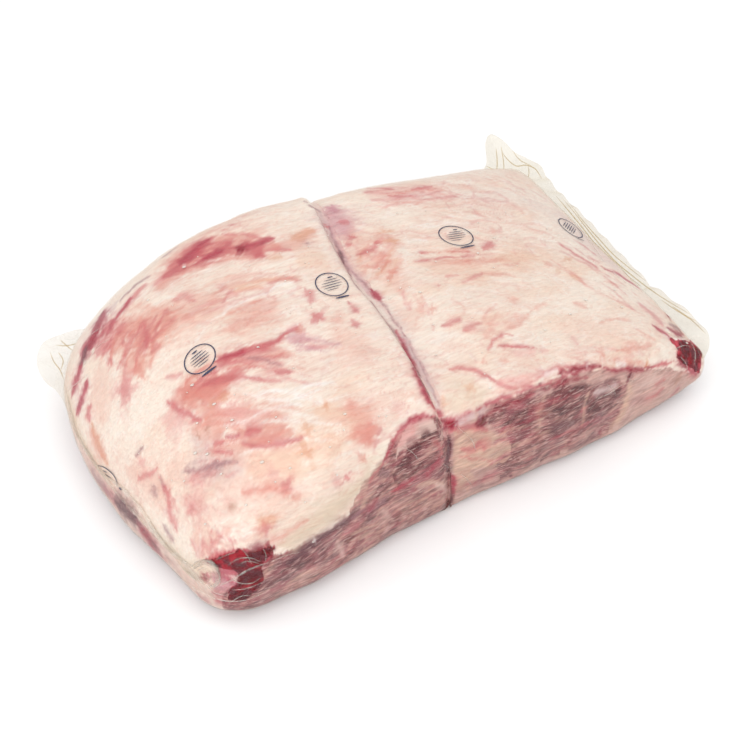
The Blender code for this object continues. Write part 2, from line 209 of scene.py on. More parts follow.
def plan_point(side, u, v, z):
    """Plan position for u from the outer end (0) to the parting (1) and v from near to far.

    Each position depends on the curved edges beside it, so it is settled in a few rounds.
    """
    outward = -1 if side == "left" else 1
    near_radius, far_radius = CORNER_RADIUS[side]
    near, far = NEAR_EDGE[4][1], FAR_EDGE[3][1]
    width = far - near
    rounding = corner_cut(v * width, near_radius) + corner_cut((1 - v) * width, far_radius)
    for _ in range(4):
        y = near + v * (far - near)
        outer = along(END_EDGE[side], y) - outward * rounding
        meet = parting(y, z) - outward * PARTING_PRESS
        x = outer + u * (meet - outer)
        near, far = along(NEAR_EDGE, x), along(FAR_EDGE, x)
    y = near + v * (far - near)
    return x, y, {"end": np.abs(x - outer), "parting": np.abs(meet - x), "near": y - near, "far": far - y}


def by_nearness(inset, values, softness):
    """A value stated at some edges of the butt, blended between them by nearness."""
    weights = {edge: 1 / (inset[edge] + softness[edge]) ** 2 for edge in values}
    return sum(values[edge] * weights[edge] for edge in values) / sum(weights.values())


def upper_skin(side, u, v):
    """The butt's top and upper walls: a height over the rim, rolled over at its four edges."""
    z = np.full(np.broadcast(u, v).shape, PARTING_MID_HEIGHT)
    for _ in range(3):
        x, y, inset = plan_point(side, u, v, z)
        heights = {"end": along(END_RIM[side], y), "near": along(NEAR_RIM, x), "far": along(FAR_RIM, x)}
        rim = by_nearness(inset, heights, RIM_SOFTNESS)
        rise = (roll_over(inset["end"], END_ROLL[side], END_SQUARENESS[side])
                * roll_over(inset["parting"], PARTING_ROLL, PARTING_SQUARENESS)
                * roll_over(inset["near"], along(NEAR_ROLL, x), NEAR_SQUARENESS)
                * roll_over(inset["far"], along(FAR_ROLL, x), FAR_SQUARENESS))
        z = rim + (top_height(side, x, y) - rim) * rise
    stop = parting(y, z) + (-0.5 if side == "left" else 0.5) * TOUCH_GAP
    x = np.minimum(x, stop) if side == "left" else np.maximum(x, stop)
    return np.stack([x, y, z], axis=-1)


def under_skin(side, u, v, turn):
    """The walls below the rim, a quarter of a rounded square: turn is 0 on the rim, 1 at the base."""
    rim_point = upper_skin(side, u, v)
    x, y, z = np.moveaxis(rim_point, -1, 0)
    _, _, inset = plan_point(side, u, v, z)
    radius = by_nearness(inset, UNDER_ROLLS[side], UNDER_SOFTNESS) + swell(x, y, *LIFTED_CORNER[side])
    inward = unit(np.array(REST_CENTRE[side]) - rim_point[..., :2])
    sine, cosine = np.sin(turn * np.pi / 2), np.clip(np.cos(turn * np.pi / 2), 0, 1)
    drawn_in = radius * (1 - cosine ** (2 / UNDER_SQUARENESS))
    plan = rim_point[..., :2] + inward * drawn_in[..., None]
    height = z * (1 - sine ** (2 / UNDER_SQUARENESS))
    return np.concatenate([plan, height[..., None]], axis=-1)


def crowded_ends(count):
    """Parameters from 0 to 1 that crowd towards both ends, by a cosine."""
    return 0.5 - 0.5 * np.cos(np.pi * np.arange(count + 1) / count)


def even_steps(count, measure):
    """Parameters from 0 to 1 that are evenly spaced by the length of the surface lines.

    measure gives the points of some surface lines at fine parameters, and the lines' mean
    length along them is cut into equal parts.
    """
    fine = crowded_ends(900)
    lengths = np.linalg.norm(np.diff(measure(fine), axis=0), axis=-1).mean(axis=1)
    distance = np.concatenate([[0.0], np.cumsum(lengths)])
    return np.interp(np.linspace(0, distance[-1], count + 1), distance, fine)


def grid_faces(number):
    """The four-sided faces of a grid of numbered points."""
    corners = number[:-1, :-1], number[1:, :-1], number[1:, 1:], number[:-1, 1:]
    return np.stack(corners, axis=-1).reshape(-1, 4)


def rings_below(rim, first, count):
    """Point numbers of a rim, then of so many rings below it, numbered on from the first."""
    return np.concatenate([rim[None, :], first + np.arange(count * len(rim)).reshape(-1, len(rim))])


def ring_faces(rings):
    """The four-sided faces between closed rings of numbered points."""
    return grid_faces(np.concatenate([rings, rings[:, :1]], axis=1))


def closing_faces(ring, centre):
    """Triangles that close a ring of numbered points with one point in its middle."""
    return np.stack([ring, np.full(len(ring), centre), np.roll(ring, -1)], axis=1)


def butt_skin(side):
    """Points and faces of one butt: the upper grid, then rings round its rim, down and inwards."""
    across_lines = np.linspace(0.15, 0.85, 5)[None, :]
    u = even_steps(UPPER_SPANS[0], lambda fine: upper_skin(side, fine[:, None], across_lines))
    v = even_steps(UPPER_SPANS[1], lambda fine: upper_skin(side, across_lines, fine[:, None]))
    upper = upper_skin(side, u[:, None], v[None, :])
    number = np.arange(upper.shape[0] * upper.shape[1]).reshape(upper.shape[:2])
    rim = np.concatenate([number[:-1, 0], number[-1, :-1], number[:0:-1, -1], number[0, :0:-1]])
    rim_u, rim_v = u[rim // len(v)], v[rim % len(v)]
    turn = (np.arange(WALL_RINGS) + 1) / WALL_RINGS
    wall = under_skin(side, rim_u[None, :], rim_v[None, :], turn[:, None])
    centre = np.array((*REST_CENTRE[side], 0.0))
    inward = 1 - (1 - np.arange(1, BASE_RINGS + 1)[:, None, None] / (BASE_RINGS + 1)) ** BASE_CROWDING
    base = wall[-1] + (centre - wall[-1]) * inward
    points = np.concatenate([upper.reshape(-1, 3), wall.reshape(-1, 3), base.reshape(-1, 3), [centre]])
    rings = rings_below(rim, number.size, WALL_RINGS + BASE_RINGS)
    faces = np.concatenate([grid_faces(number), ring_faces(rings)])
    cap = closing_faces(rings[-1], len(points) - 1)
    if side == "right":
        faces, cap = faces[:, ::-1], cap[:, ::-1]
    return points - PACK_CENTRE, faces, cap, upper.shape[:2]


def new_mesh(name, points, *face_groups):
    """A smooth-shaded mesh object from an array of points and arrays of faces, one for each side count."""
    mesh = bpy.data.meshes.new(name)
    corners = np.concatenate([group.ravel() for group in face_groups])
    sides = np.concatenate([np.full(len(group), group.shape[1]) for group in face_groups])
    mesh.vertices.add(len(points))
    mesh.vertices.foreach_set("co", points.astype(np.float32).ravel())
    mesh.loops.add(len(corners))
    mesh.loops.foreach_set("vertex_index", corners.astype(np.int32))
    mesh.polygons.add(len(sides))
    mesh.polygons.foreach_set("loop_start", (np.cumsum(sides) - sides).astype(np.int32))
    mesh.update(calc_edges=True)
    mesh.validate()
    mesh.shade_smooth()
    piece = bpy.data.objects.new(name, mesh)
    bpy.context.scene.collection.objects.link(piece)
    return piece


def shader_of(name):
    """A new node material: its node tree and its Principled shader."""
    material = bpy.data.materials.new(name)
    material.use_nodes = True
    return material, material.node_tree, material.node_tree.nodes["Principled BSDF"]


def add_node(tree, kind, out, inputs, **settings):
    """A shader node's output; its inputs, by name or number, take plain values or other outputs."""
    node = tree.nodes.new("ShaderNode" + kind)
    for name, value in settings.items():
        setattr(node, name, value)
    for name, value in inputs.items():
        if isinstance(value, bpy.types.NodeSocket):
            tree.links.new(value, node.inputs[name])
        else:
            node.inputs[name].default_value = value
    return node.outputs[out]


def ranged(tree, value, low, high, at_low, at_high):
    """A value that runs from low to high, drawn out to run from at_low to at_high and held there."""
    return add_node(tree, "MapRange", "Result", {"Value": value, "From Min": low, "From Max": high,
                                                 "To Min": at_low, "To Max": at_high})


def figured(tree, operation, first, second=0.0, third=0.0):
    """One sum on shader values, such as multiply, subtract or power."""
    return add_node(tree, "Math", "Value", {0: first, 1: second, 2: third}, operation=operation)


def mixed(tree, share, first, second, blend="MIX"):
    """The first colour with a share of the second blended or multiplied in."""
    return add_node(tree, "Mix", "Result", {"Factor": share, "A": first, "B": second},
                    data_type="RGBA", blend_type=blend)


def layered(tree, share, under, over):
    """One finish with a share of another over it."""
    return add_node(tree, "MixShader", "Shader", {"Fac": share, 1: under, 2: over})


def noise(tree, scale, detail, distortion=0.0, turn=(0, 0, 0)):
    """Smooth noise on the piece's own coordinates; three scales and a turn draw it into fibres."""
    place = add_node(tree, "TexCoord", "Object", {})
    if isinstance(scale, tuple):
        place = add_node(tree, "Mapping", "Vector", {"Vector": place, "Scale": scale,
                                                     "Rotation": [math.radians(angle) for angle in turn]})
        scale = 1.0
    return add_node(tree, "TexNoise", "Fac", {"Vector": place, "Scale": scale, "Detail": detail,
                                              "Distortion": distortion})


# Relief of the meat: lumps of cut muscle on the near wall, and soft waves of the fat cap
CUT_FACE_TOP = -0.100
CUT_FACE_FADE = 0.015
LUMP_SIZE, LUMP_HEIGHT = 0.020, 0.0021
WAVE_SIZE, WAVE_HEIGHT = 0.026, 0.0007
DIMPLE_SIZE, DIMPLE_HEIGHT = 0.008, 0.0003
PARTING_GROOVE = 0.0022
PARTING_GROOVE_WIDTH = 0.0045
CUT_FACE_OFF_PARTING = 0.004
WALL_STEEPNESS = 1.6
WALL_FROM_MIDDLE = 0.08
CALM_BESIDE_PARTING = 0.002
CALM_FADE = 0.004
CALM_OVER_BASE = 0.012
TOUCHING_FACE = 0.7
MEAT_LEAST_HEIGHT = 0.0008


def clouds(points, size, seed):
    """Smooth noise from -1 to 1: random values on a lattice of this size, eased between corners.

    size is one number, or three for noise that is drawn out along an axis.
    """
    lattice = np.random.default_rng(seed).uniform(-1, 1, (48, 48, 48))
    place = points / np.array(size) + 480
    cell = np.floor(place).astype(int)
    ease = (place - cell) ** 2 * (3 - 2 * (place - cell))
    value = np.zeros(len(points))
    for corner in np.ndindex(2, 2, 2):
        share = np.prod(np.where(corner, ease, 1 - ease), axis=1)
        i, j, k = ((cell + corner) % 48).T
        value += share * lattice[i, j, k]
    return value


def astray(points, size, *seeds):
    """A smooth shift for each point, from -1 to 1: one noise for each of its coordinates."""
    return np.stack([clouds(points, size, seed) for seed in seeds], axis=1)


def point_normals(points, faces):
    """Unit normals at points: the sum of the crossed diagonals of the four-sided faces there."""
    a, b, c, d = (points[faces[:, corner]] for corner in range(4))
    across = np.cross(c - a, d - b)
    total = np.stack([np.bincount(faces.ravel(), np.repeat(across[:, axis], 4), len(points))
                      for axis in range(3)], axis=1)
    return unit(total)


def shape_relief(points, normals):
    """Height of the relief along the normals, none where the pack rests on its flat base."""
    x, y, z = (points + PACK_CENTRE).T
    off_parting = np.abs(x - parting(y, z))
    near = (np.clip(past(CUT_FACE_TOP, y) / CUT_FACE_FADE, 0, 1)
            * np.clip(past(off_parting, CUT_FACE_OFF_PARTING) / CUT_FACE_FADE, 0, 1))
    height = near * LUMP_HEIGHT * clouds(points, LUMP_SIZE, 11)
    height += WAVE_HEIGHT * clouds(points, WAVE_SIZE, 12) + DIMPLE_HEIGHT * clouds(points, DIMPLE_SIZE, 13)
    wall = (np.clip(1 - normals[:, 2] * WALL_STEEPNESS, 0, 1)
            * np.clip(np.abs(y) / WALL_FROM_MIDDLE, 0, 1))
    height -= PARTING_GROOVE * wall * np.exp(-(off_parting / PARTING_GROOVE_WIDTH) ** 2)
    inner = np.clip((off_parting - CALM_BESIDE_PARTING) / CALM_FADE, 0, 1)
    open_wall = wall * (np.abs(normals[:, 0]) < TOUCHING_FACE)
    return height * np.clip(z / CALM_OVER_BASE, 0, 1) * np.maximum(inner, open_wall)


butts = {}
for side in ("left", "right"):
    points, faces, cap, shape = butt_skin(side)
    normals = point_normals(points, faces)
    points = points + normals * shape_relief(points, normals)[:, None]
    points[:, 2] = np.maximum(points[:, 2], MEAT_LEAST_HEIGHT)
    butts[side] = {"points": points, "faces": faces, "cap": cap, "shape": shape}


def blended(values, stations, axis):
    """Whole arrays of values at fractional stations along one axis, by straight blending."""
    low = np.clip(stations.astype(int), 0, values.shape[axis] - 2)
    share = (stations - low).reshape([-1 if each == axis else 1 for each in range(values.ndim)])
    return np.take(values, low, axis) * (1 - share) + np.take(values, low + 1, axis) * share


def skin_grids(piece, gap):
    """A butt's upper surface and its wall rings, as points and normals held off the skin by a gap."""
    normals = point_normals(piece["points"], piece["faces"])
    skin = np.concatenate([piece["points"] + normals * gap, normals], axis=1)
    rows, columns = piece["shape"]
    corner = 2 * (rows + columns - 2)
    upper = skin[:rows * columns].reshape(rows, columns, 6)
    rings = skin[rows * columns:][:WALL_RINGS * corner].reshape(WALL_RINGS, corner, 6)
    return upper, np.concatenate([rings, rings[:, :rows + 1]], axis=1), corner


def parting_station(upper, inset):
    """The fractional row of the upper grid that lies this far from the parting."""
    off_parting = np.abs(upper[-1, :, 0] - upper[:, :, 0]).mean(axis=1)
    return np.interp(-inset, -off_parting, np.arange(len(upper)))


def bridge(start, stop, rows, dip):
    """Rows of points from one line to another, dipping inwards between them."""
    t = (np.arange(rows) + 1)[:, None, None] / (rows + 1)
    inward = unit(-(start[:, 3:] + stop[:, 3:]))
    return start[:, :3] * (1 - t) + stop[:, :3] * t + dip * np.sin(np.pi * t) * inward


# Between the butts lies a strip of soft tissue and juice. It bridges the parting a little way
# down, from the foot of the far wall over the top to the foot of the near wall.
TISSUE_START = 0.0046
TISSUE_DIP = 0.0010
TISSUE_ROWS = 13
TISSUE_THICKNESS = 0.0010


def beside_parting(piece, inset):
    """A line down the near wall, over the top and down the far wall, this far from the parting."""
    upper, rings, corner = skin_grids(piece, 0.0)
    at = np.array([parting_station(upper, inset)])
    near = blended(rings[:-2], at, 1)[::-1, 0]
    far = blended(rings[:-2], corner - (upper.shape[1] - 1) - at, 1)[:, 0]
    return np.concatenate([near, blended(upper, at, 0)[0], far])


left_line, right_line = (beside_parting(butts[side], TISSUE_START) for side in ("left", "right"))
tissue_points = np.concatenate([left_line[None, :, :3],
                                bridge(left_line, right_line, TISSUE_ROWS, TISSUE_DIP),
                                right_line[None, :, :3]])
tissue_faces = grid_faces(np.arange(tissue_points.shape[0] * tissue_points.shape[1])
                          .reshape(tissue_points.shape[:2]))
tissue_points = tissue_points.reshape(-1, 3)

# The colours of fat, tissue and muscle: (red, green, blue) as seen, and how lean each one is.
# White and ivory also serve for the painted glints and sheen of the film.
SHADES = {
    "cream": ((249, 231, 216), 0.0),
    "ivory": ((252, 241, 228), 0.0),
    "white": ((255, 252, 248), 0.0),
    "cut_fat": ((228, 207, 184), 0.0),
    "warm": ((238, 186, 156), 0.0),
    "orange": ((224, 160, 128), 0.0),
    "haze": ((233, 172, 156), 0.0),
    "salmon": ((222, 140, 128), 0.0),
    "pink": ((230, 166, 162), 0.0),
    "lilac": ((222, 198, 196), 0.0),
    "lilac_rose": ((206, 146, 156), 0.1),
    "rose": ((204, 106, 110), 0.1),
    "deep_rose": ((178, 66, 82), 0.2),
    "crimson_rose": ((146, 38, 54), 0.30),
    "crimson": ((104, 8, 28), 0.35),
    "brown_mark": ((160, 104, 84), 0.0),
    "mauve": ((156, 112, 118), 0.3),
    "dark_mauve": ((104, 62, 70), 0.5),
    "pad": ((228, 196, 186), 0.1),
    "membrane": ((210, 172, 162), 0.3),
    "septum": ((222, 186, 164), 0.3),
    "muscle_pale": ((200, 156, 146), 0.9),
    "muscle_rose": ((170, 96, 104), 0.8),
    "muscle": ((150, 98, 98), 1.0),
    "muscle_grey": ((146, 108, 110), 0.9),
    "muscle_dark": ((98, 52, 56), 1.0),
}


def pixel_pairs(row):
    """Places on the photograph from a row of x,y pairs."""
    return tuple(tuple(map(float, place.split(","))) for place in row.split())


def traced(rows):
    """What was traced off the photograph, from rows of words and numbers, a colon and pixels.

    A line that starts with a space carries on the row above it.
    """
    for row in rows.strip().replace("\n ", " ").splitlines():
        head, route = row.split(":")
        words = [word if word[0].isalpha() else float(word) for word in head.split()]
        yield *words, pixel_pairs(route)


# Streaks on the fat cap and on the near walls: shade, strength, width and route in pixels.
# A route of one point is a round spot. Each group is painted over those before it. The white
# marks in LEFT_FAR_RIM, LEFT_END, LEFT_WALL, RIGHT_END, RIGHT_NEAR_EDGE and RIGHT_WALL are
# painted glints of the film, its bubbles and its wrinkles, and the ivory lines down CREASE are
# painted sheen of the film over the crease.
CAP_HAZE = """
salmon .42 26: 160,286 185,262 215,247 250,246 275,247
salmon .3 16: 275,250 300,240 313,231
haze .55 44: 140,350 150,325 165,312
haze .36 34: 170,330 190,308 215,296
salmon .35 22: 112,352 126,332 140,322
haze .45 30: 128,372 140,356
haze .22 26: 98,372 100,400 104,420
pink .4 24: 120,392 132,388
warm .3 34: 250,470 280,462 300,470
haze .16 40: 176,468 220,480 262,494 300,492
lilac .35 26: 196,440 216,456 240,470
salmon .6 24: 182,390 205,387 228,379
salmon .4 16: 176,400 200,396 222,390
salmon .34 20: 218,365 250,358 285,352
salmon .34 17: 205,424 235,417 268,411 290,409
salmon .38 16: 238,431 262,426 285,424
pink .35 30: 166,420 184,417
haze .4 20: 196,432 212,427 226,424
haze .4 22: 214,452 240,444 268,441
salmon .26 24: 230,330 250,318 275,303
haze .06 30: 300,370 330,362 360,352
warm .3 26: 318,408 345,416 366,430
warm .3 26: 300,452 322,444 340,442
salmon .26 20: 350,402 364,420 370,440
warm .26 20: 262,520 270,530
haze .3 26: 130,470 150,480 168,500
pink .3 20: 186,500 205,510
haze .3 24: 196,545 215,538
warm .2 30: 300,262 320,255
haze .2 26: 336,330 352,345 370,362
lilac_rose .45 26: 328,208 338,222 348,236
haze .26 28: 352,232 362,250 378,266
haze .34 18: 372,240 386,240 394,250
haze .26 20: 378,262 390,276 402,292
lilac .12 40: 395,198 450,196 510,200 548,208
pink .25 20: 365,192 400,194 440,192
warm .16 40: 432,270 470,266 510,262 540,258
haze .16 22: 420,262 450,264 480,262
warm .12 26: 450,322 480,326 505,322
warm .15 26: 540,250 560,262 580,278
haze .08 16: 500,348 522,352 544,350
cut_fat .38 26: 450,408 462,398 482,392
haze .18 24: 400,310 412,326
lilac .3 26: 560,214 590,244 616,268
haze .1 22: 560,326 590,330 618,326
"""
# Its last row, a white spot, is a painted glint of an air bubble in the film over the rim.
LEFT_FAR_RIM = """
pink .75 6: 154,285 160,280 167,276
rose .8 15: 165,277 177,268 188,257 201,246 212,238
deep_rose .75 8: 180,265 189,256 198,247 209,239
rose .8 12: 196,264 209,257 221,251 231,242
deep_rose .85 7: 203,260 212,255 222,250
rose .75 13: 236,248 249,249 262,253
crimson_rose .8 10: 238,248 246,250
deep_rose .75 6: 246,247 258,244 266,241 274,239
rose .6 7: 254,254 266,256
rose .45 3: 266,251 281,249 290,250
rose .45 3: 222,234 232,235 251,233
rose .4 4: 246,235 262,238 273,239
rose .5 4: 233,225
rose .4 4: 224,229
orange .5 9: 291,240 300,236 306,233 313,229
orange .4 5: 268,259 276,257 283,256
mauve .45 5: 307,243
white .75 6: 183,267 185,266
"""
# Its two thin white lines are painted glints of film wrinkles above the near left corner's curl.
LEFT_END = """
mauve .6 3: 120,302 129,291 150,275
rose .5 5: 124,309 135,295 145,284
mauve .6 3: 162,258 170,252 178,246
deep_rose .75 5: 106,335 113,323 120,313 126,306 132,296
lilac .6 12: 100,320 108,312 117,302
crimson .8 11: 103,312 98,324 94,335 90,345 86,352
deep_rose .75 17: 104,312 97,328 89,344 82,358
dark_mauve .7 6: 87,346 84,357 80,368
deep_rose .8 9: 82,364 78,374 75,384 72,396
deep_rose .8 8: 87,380 85,390 81,399 78,408 76,415
rose .6 6: 90,404 88,413 90,424
rose .45 15: 110,322 104,340 98,356
orange .6 6: 92,424 95,436 98,443 102,455 109,465
salmon .3 10: 90,430 97,446 106,460
rose .45 9: 120,328
rose .5 6: 103,356 107,346 112,338
rose .45 9: 112,357 108,365
rose .45 7: 120,345 126,341
salmon .5 6: 135,359 138,370 143,378
rose .6 7: 144,325 146,336 147,348
rose .35 7: 152,352 158,342
rose .35 6: 164,316 168,308
rose .35 7: 174,300 184,296 194,301
salmon .4 5: 182,320 189,314
rose .4 12: 124,390
rose .45 4: 166,378 175,376 184,372
rose .6 5: 166,399 176,407 184,413 194,418 202,420
mauve .6 2.5: 135,457 140,450 145,446
pink .5 7: 138,464 145,457
rose .5 4: 137,481 146,475 152,472 157,468
rose .5 6: 168,502 170,511 173,520 176,530
mauve .4 5: 154,484 154,490 157,498
mauve .45 5: 164,526 169,535 174,544
pink .55 5: 190,539 196,549 199,557
pink .55 5: 204,538 203,549 203,558
pink .5 4: 216,540 211,548 208,555
white .4 1.6: 194,541 199,558
white .4 1.6: 201,527 201,556
brown_mark .4 5: 231,507
rose .35 8: 192,508
"""
LEFT_CAP_BANDS = """
rose .85 9: 216,361 229,357 240,353 249,350
rose .8 6: 240,353 249,350 261,347 274,342 284,336
deep_rose .6 6: 222,358 234,354 246,350
rose .75 4: 276,341 284,335 292,331 300,326
pink .5 8: 242,356 256,356 270,361 284,366
mauve .4 3: 246,358 261,359 271,362 282,366
pink .5 7: 268,371 280,373 292,373
rose .55 3: 274,373 292,373
rose .6 7: 205,384 216,381 230,379 248,376
rose .45 4: 246,377 262,380 280,381
salmon .35 3: 225,369 240,367 252,366
lilac_rose .55 13: 288,338 297,337 306,338
lilac_rose .4 6: 306,340 324,341 340,345
salmon .5 7: 296,329 304,330
orange .4 8: 220,398 228,395
orange .35 6: 208,406 216,404
rose .5 6: 306,289 311,297 311,304
rose .6 12: 315,315 322,318
salmon .35 8: 337,319
rose .6 5: 348,302 354,309 358,313
rose .55 4: 352,318 360,330
rose .65 8: 246,433 255,430 262,431
deep_rose .55 3: 226,437 233,437 240,434
rose .5 4: 212,444 219,442 226,440
rose .45 4: 214,452 224,451 232,454
rose .35 4: 204,447 210,444
rose .65 4: 240,442 257,446 271,445 284,442 303,438
salmon .4 9: 250,439 270,437 292,432
mauve .6 4: 184,473 197,471 208,468 218,464 229,461
pink .5 6: 188,480 200,477 216,472
pink .4 5: 192,486 204,482
brown_mark .3 5: 206,430 212,428
brown_mark .28 5: 196,437 201,434
orange .5 13: 304,453 311,450
orange .45 11: 304,428 310,426
orange .55 6: 323,407 330,405
rose .55 9: 283,483 291,488
salmon .6 7: 290,492 273,489 258,490 242,495
salmon .4 6: 292,498 300,494
pink .4 10: 268,476 278,472
rose .5 13: 264,524 266,533
orange .3 10: 256,520 276,522
rose .5 9: 346,475 349,478
rose .35 6: 337,482
salmon .5 10: 360,461 364,456
salmon .6 15: 369,424 368,434 369,443
rose .4 3: 382,426 378,437 373,450
salmon .3 9: 352,407
pink .3 8: 403,401 394,409
rose .4 3: 233,288 226,298 220,304
rose .3 6: 222,289
"""
WHITE_TISSUE = """
rose .4 5: 266,284 279,280 289,278 301,281
pink .4 6: 296,288 303,287
ivory .75 8: 271,293 282,288 293,284
white .7 1.8: 268,291 281,284 295,281
white .6 1.6: 295,281 297,286 290,290 274,296
white .6 2.2: 269,292 245,301 228,309 217,318 210,323
salmon .35 2.5: 262,299 240,308 226,316 216,324
white .5 2: 208,324 200,336 194,344
"""
LEFT_NEAR_EDGE = """
cut_fat .75 19: 283,545 300,536 316,524 333,511 346,499 356,488
cut_fat .6 11: 356,494 366,478 376,462 386,448
ivory .5 7: 371,470 380,457 388,442
salmon .45 5: 265,546 280,537 295,528 308,519
deep_rose .85 3.6: 437,416 424,417 412,422 404,427 398,434
deep_rose .8 3.2: 398,434 393,443 388,454 384,462
rose .6 2.5: 384,462 379,468 373,476 369,484
pink .55 9: 414,429 402,439 397,448
"""
# The ivory lines down its middle are painted sheen of the film where it spans the crease.
CREASE = """
lilac .55 13: 318,210 328,232 340,258 360,286 380,310 402,340 418,366 432,396 440,412
ivory .6 8: 352,276 368,296 386,318 402,342
lilac_rose .35 6: 330,226 345,262 372,296
lilac_rose .4 6: 398,334 414,360 428,388
ivory .5 5: 414,362 423,380 431,396 438,408
mauve .65 2.4: 304,201 312,207 322,213 329,219
rose .7 6: 325,225 328,229
mauve .65 2.4: 329,224 332,236 336,245 341,254 347,268 354,283 364,294
dark_mauve .7 2.2: 338,249 341,256 345,265
mauve .55 2.2: 364,294 373,305 382,317 392,330 402,342 410,354
crimson_rose .62 5.5: 402,342 411,360 419,378 427,394 434,408
deep_rose .6 3.4: 396,330 406,350 414,368 421,384 429,399 436,410
dark_mauve .6 2.4: 416,368 422,382 430,396
mauve .55 2: 350,270 361,281 373,292 383,303 394,321 407,338
mauve .5 2: 407,338 416,356 426,376 434,394 440,406
deep_rose .8 5: 372,290 377,296 382,301
rose .6 4: 430,398 434,408 438,414
deep_rose .6 5: 438,410 441,417
orange .4 4: 443,396 444,407
lilac .75 1.8: 398,328 408,345 417,361 425,377 433,394 439,408
"""
RIGHT_CAP = """
lilac_rose .65 10: 331,205 335,212
rose .5 5: 338,223 350,221
rose .55 6: 350,236 356,238
rose .5 5: 352,245 344,243
rose .45 3: 364,188 378,188 394,189
pink .45 3: 362,193 380,193 399,192
rose .55 4: 411,190 421,188 432,186
rose .35 3: 388,196 404,196 418,195
pink .45 4: 370,200 386,200 404,197
rose .4 4: 424,199 440,198 462,195
pink .4 3: 366,206 386,206 408,202
salmon .2 4: 420,207 450,206 470,203
orange .55 10: 391,238 394,243
orange .45 9: 383,230 387,234
rose .5 5: 358,256 368,250 375,245 378,239
salmon .45 7: 380,252 382,258
salmon .4 7: 385,262
salmon .45 12: 390,271 396,273
salmon .35 7: 386,281 391,279
salmon .3 4: 396,289 401,292
pink .35 3: 411,299 411,311
salmon .4 8: 430,309 435,309
rose .35 4: 437,285 441,285
rose .45 3: 417,254 423,253 430,253
rose .45 3: 415,262 431,259 450,257
rose .4 3: 438,258 455,257
rose .45 3.5: 460,257 468,256 475,255
rose .55 7: 492,241 488,246 484,250
salmon .35 6: 494,231
salmon .3 5: 466,262 472,262
orange .2 14: 498,258 516,258 534,256
salmon .35 4: 480,273 496,274 516,276
rose .35 3: 445,277 460,275
rose .4 3.5: 463,283 472,278 482,273
salmon .3 5: 457,305 462,302
rose .5 4.5: 442,327 451,322 461,318
rose .44 5.5: 463,331 471,327 480,322
salmon .26 5: 493,323 489,331 485,339
salmon .28 6: 508,329 517,321 527,315
salmon .28 4: 535,309 546,302
salmon .26 8: 513,301
rose .55 2.6: 488,350 491,345 494,341 499,337 505,334 512,335
rose .7 3.4: 498,346 511,347 524,347 536,348
pink .34 9: 512,352 524,353 534,352
pink .35 6: 540,351 548,350
salmon .35 2.4: 485,354 483,365
salmon .3 5: 504,361
orange .35 10: 468,387 474,390
pink .35 5: 572,336 579,346
orange .4 9: 566,257 570,260
orange .3 6: 555,270 561,272
orange .35 5: 571,273 578,279
salmon .35 6: 544,262 552,266
"""
# Its thin white line across the corner is a painted glint of a film wrinkle; a pleat runs along it.
RIGHT_END = """
rose .55 4: 556,241 566,248 575,254 589,262 600,270
rose .5 2.4: 573,239 588,249 597,256
rose .35 3: 588,255 601,264
deep_rose .75 3.6: 606,270 620,275 628,281 635,285 641,290
crimson_rose .85 4: 649,295 656,301 662,307 668,315 670,320
crimson .7 2.4: 654,299 660,305 666,313
salmon .3 4: 604,281 612,283 622,287
salmon .35 4: 574,302 581,305 589,309
salmon .4 3: 598,323 610,320 620,319 630,321
salmon .35 2.4: 634,328 645,335 657,342
rose .4 8: 640,304 652,314 662,326
mauve .7 8: 670,325 678,328 690,331
deep_rose .8 5: 654,326 661,331 667,335 673,341
crimson_rose .75 5: 668,329 676,333 692,334
crimson_rose .9 14: 682,342 690,352 692,364
crimson .9 9: 680,345 686,350 684,358
crimson .85 8: 696,344 698,356 696,368
crimson_rose .8 7: 678,354 683,363 690,369
deep_rose .8 6: 686,365 693,371 699,376
white .8 2.2: 661,333 668,337 676,339 691,338 701,337
pink .7 1.8: 676,344 677,354 679,364
pink .65 1.8: 686,345 690,352 691,359
ivory .85 9: 660,345 666,350 668,356
ivory .7 5: 648,362 660,361 669,358
rose .7 3: 642,368 654,367 664,364 673,361
"""
# Its last three rows, short white marks, are painted glints of the film along the edge.
RIGHT_NEAR_EDGE = """
rose .55 4: 450,369 461,368 470,370 481,374 492,379
rose .6 4: 488,377 500,384 514,387 526,384 537,380
rose .6 4: 534,381 545,374 556,369 570,367 586,363
pink .45 8: 500,380 516,382 530,378 545,373
crimson_rose .85 4: 558,375 571,370 581,368 592,366 602,367
crimson_rose .8 3.6: 600,367 613,370 628,368 640,369 654,367
rose .6 4: 652,367 660,365 668,363
salmon .45 3: 612,359 626,362 637,362 646,364
orange .7 6: 644,365 649,366
salmon .45 4: 616,350 630,349 640,347 652,346
salmon .4 4: 597,350 606,356
white .6 3: 541,376 551,373 558,370
white .55 3: 585,367 589,366
white .6 5: 615,365 621,364 627,364
"""

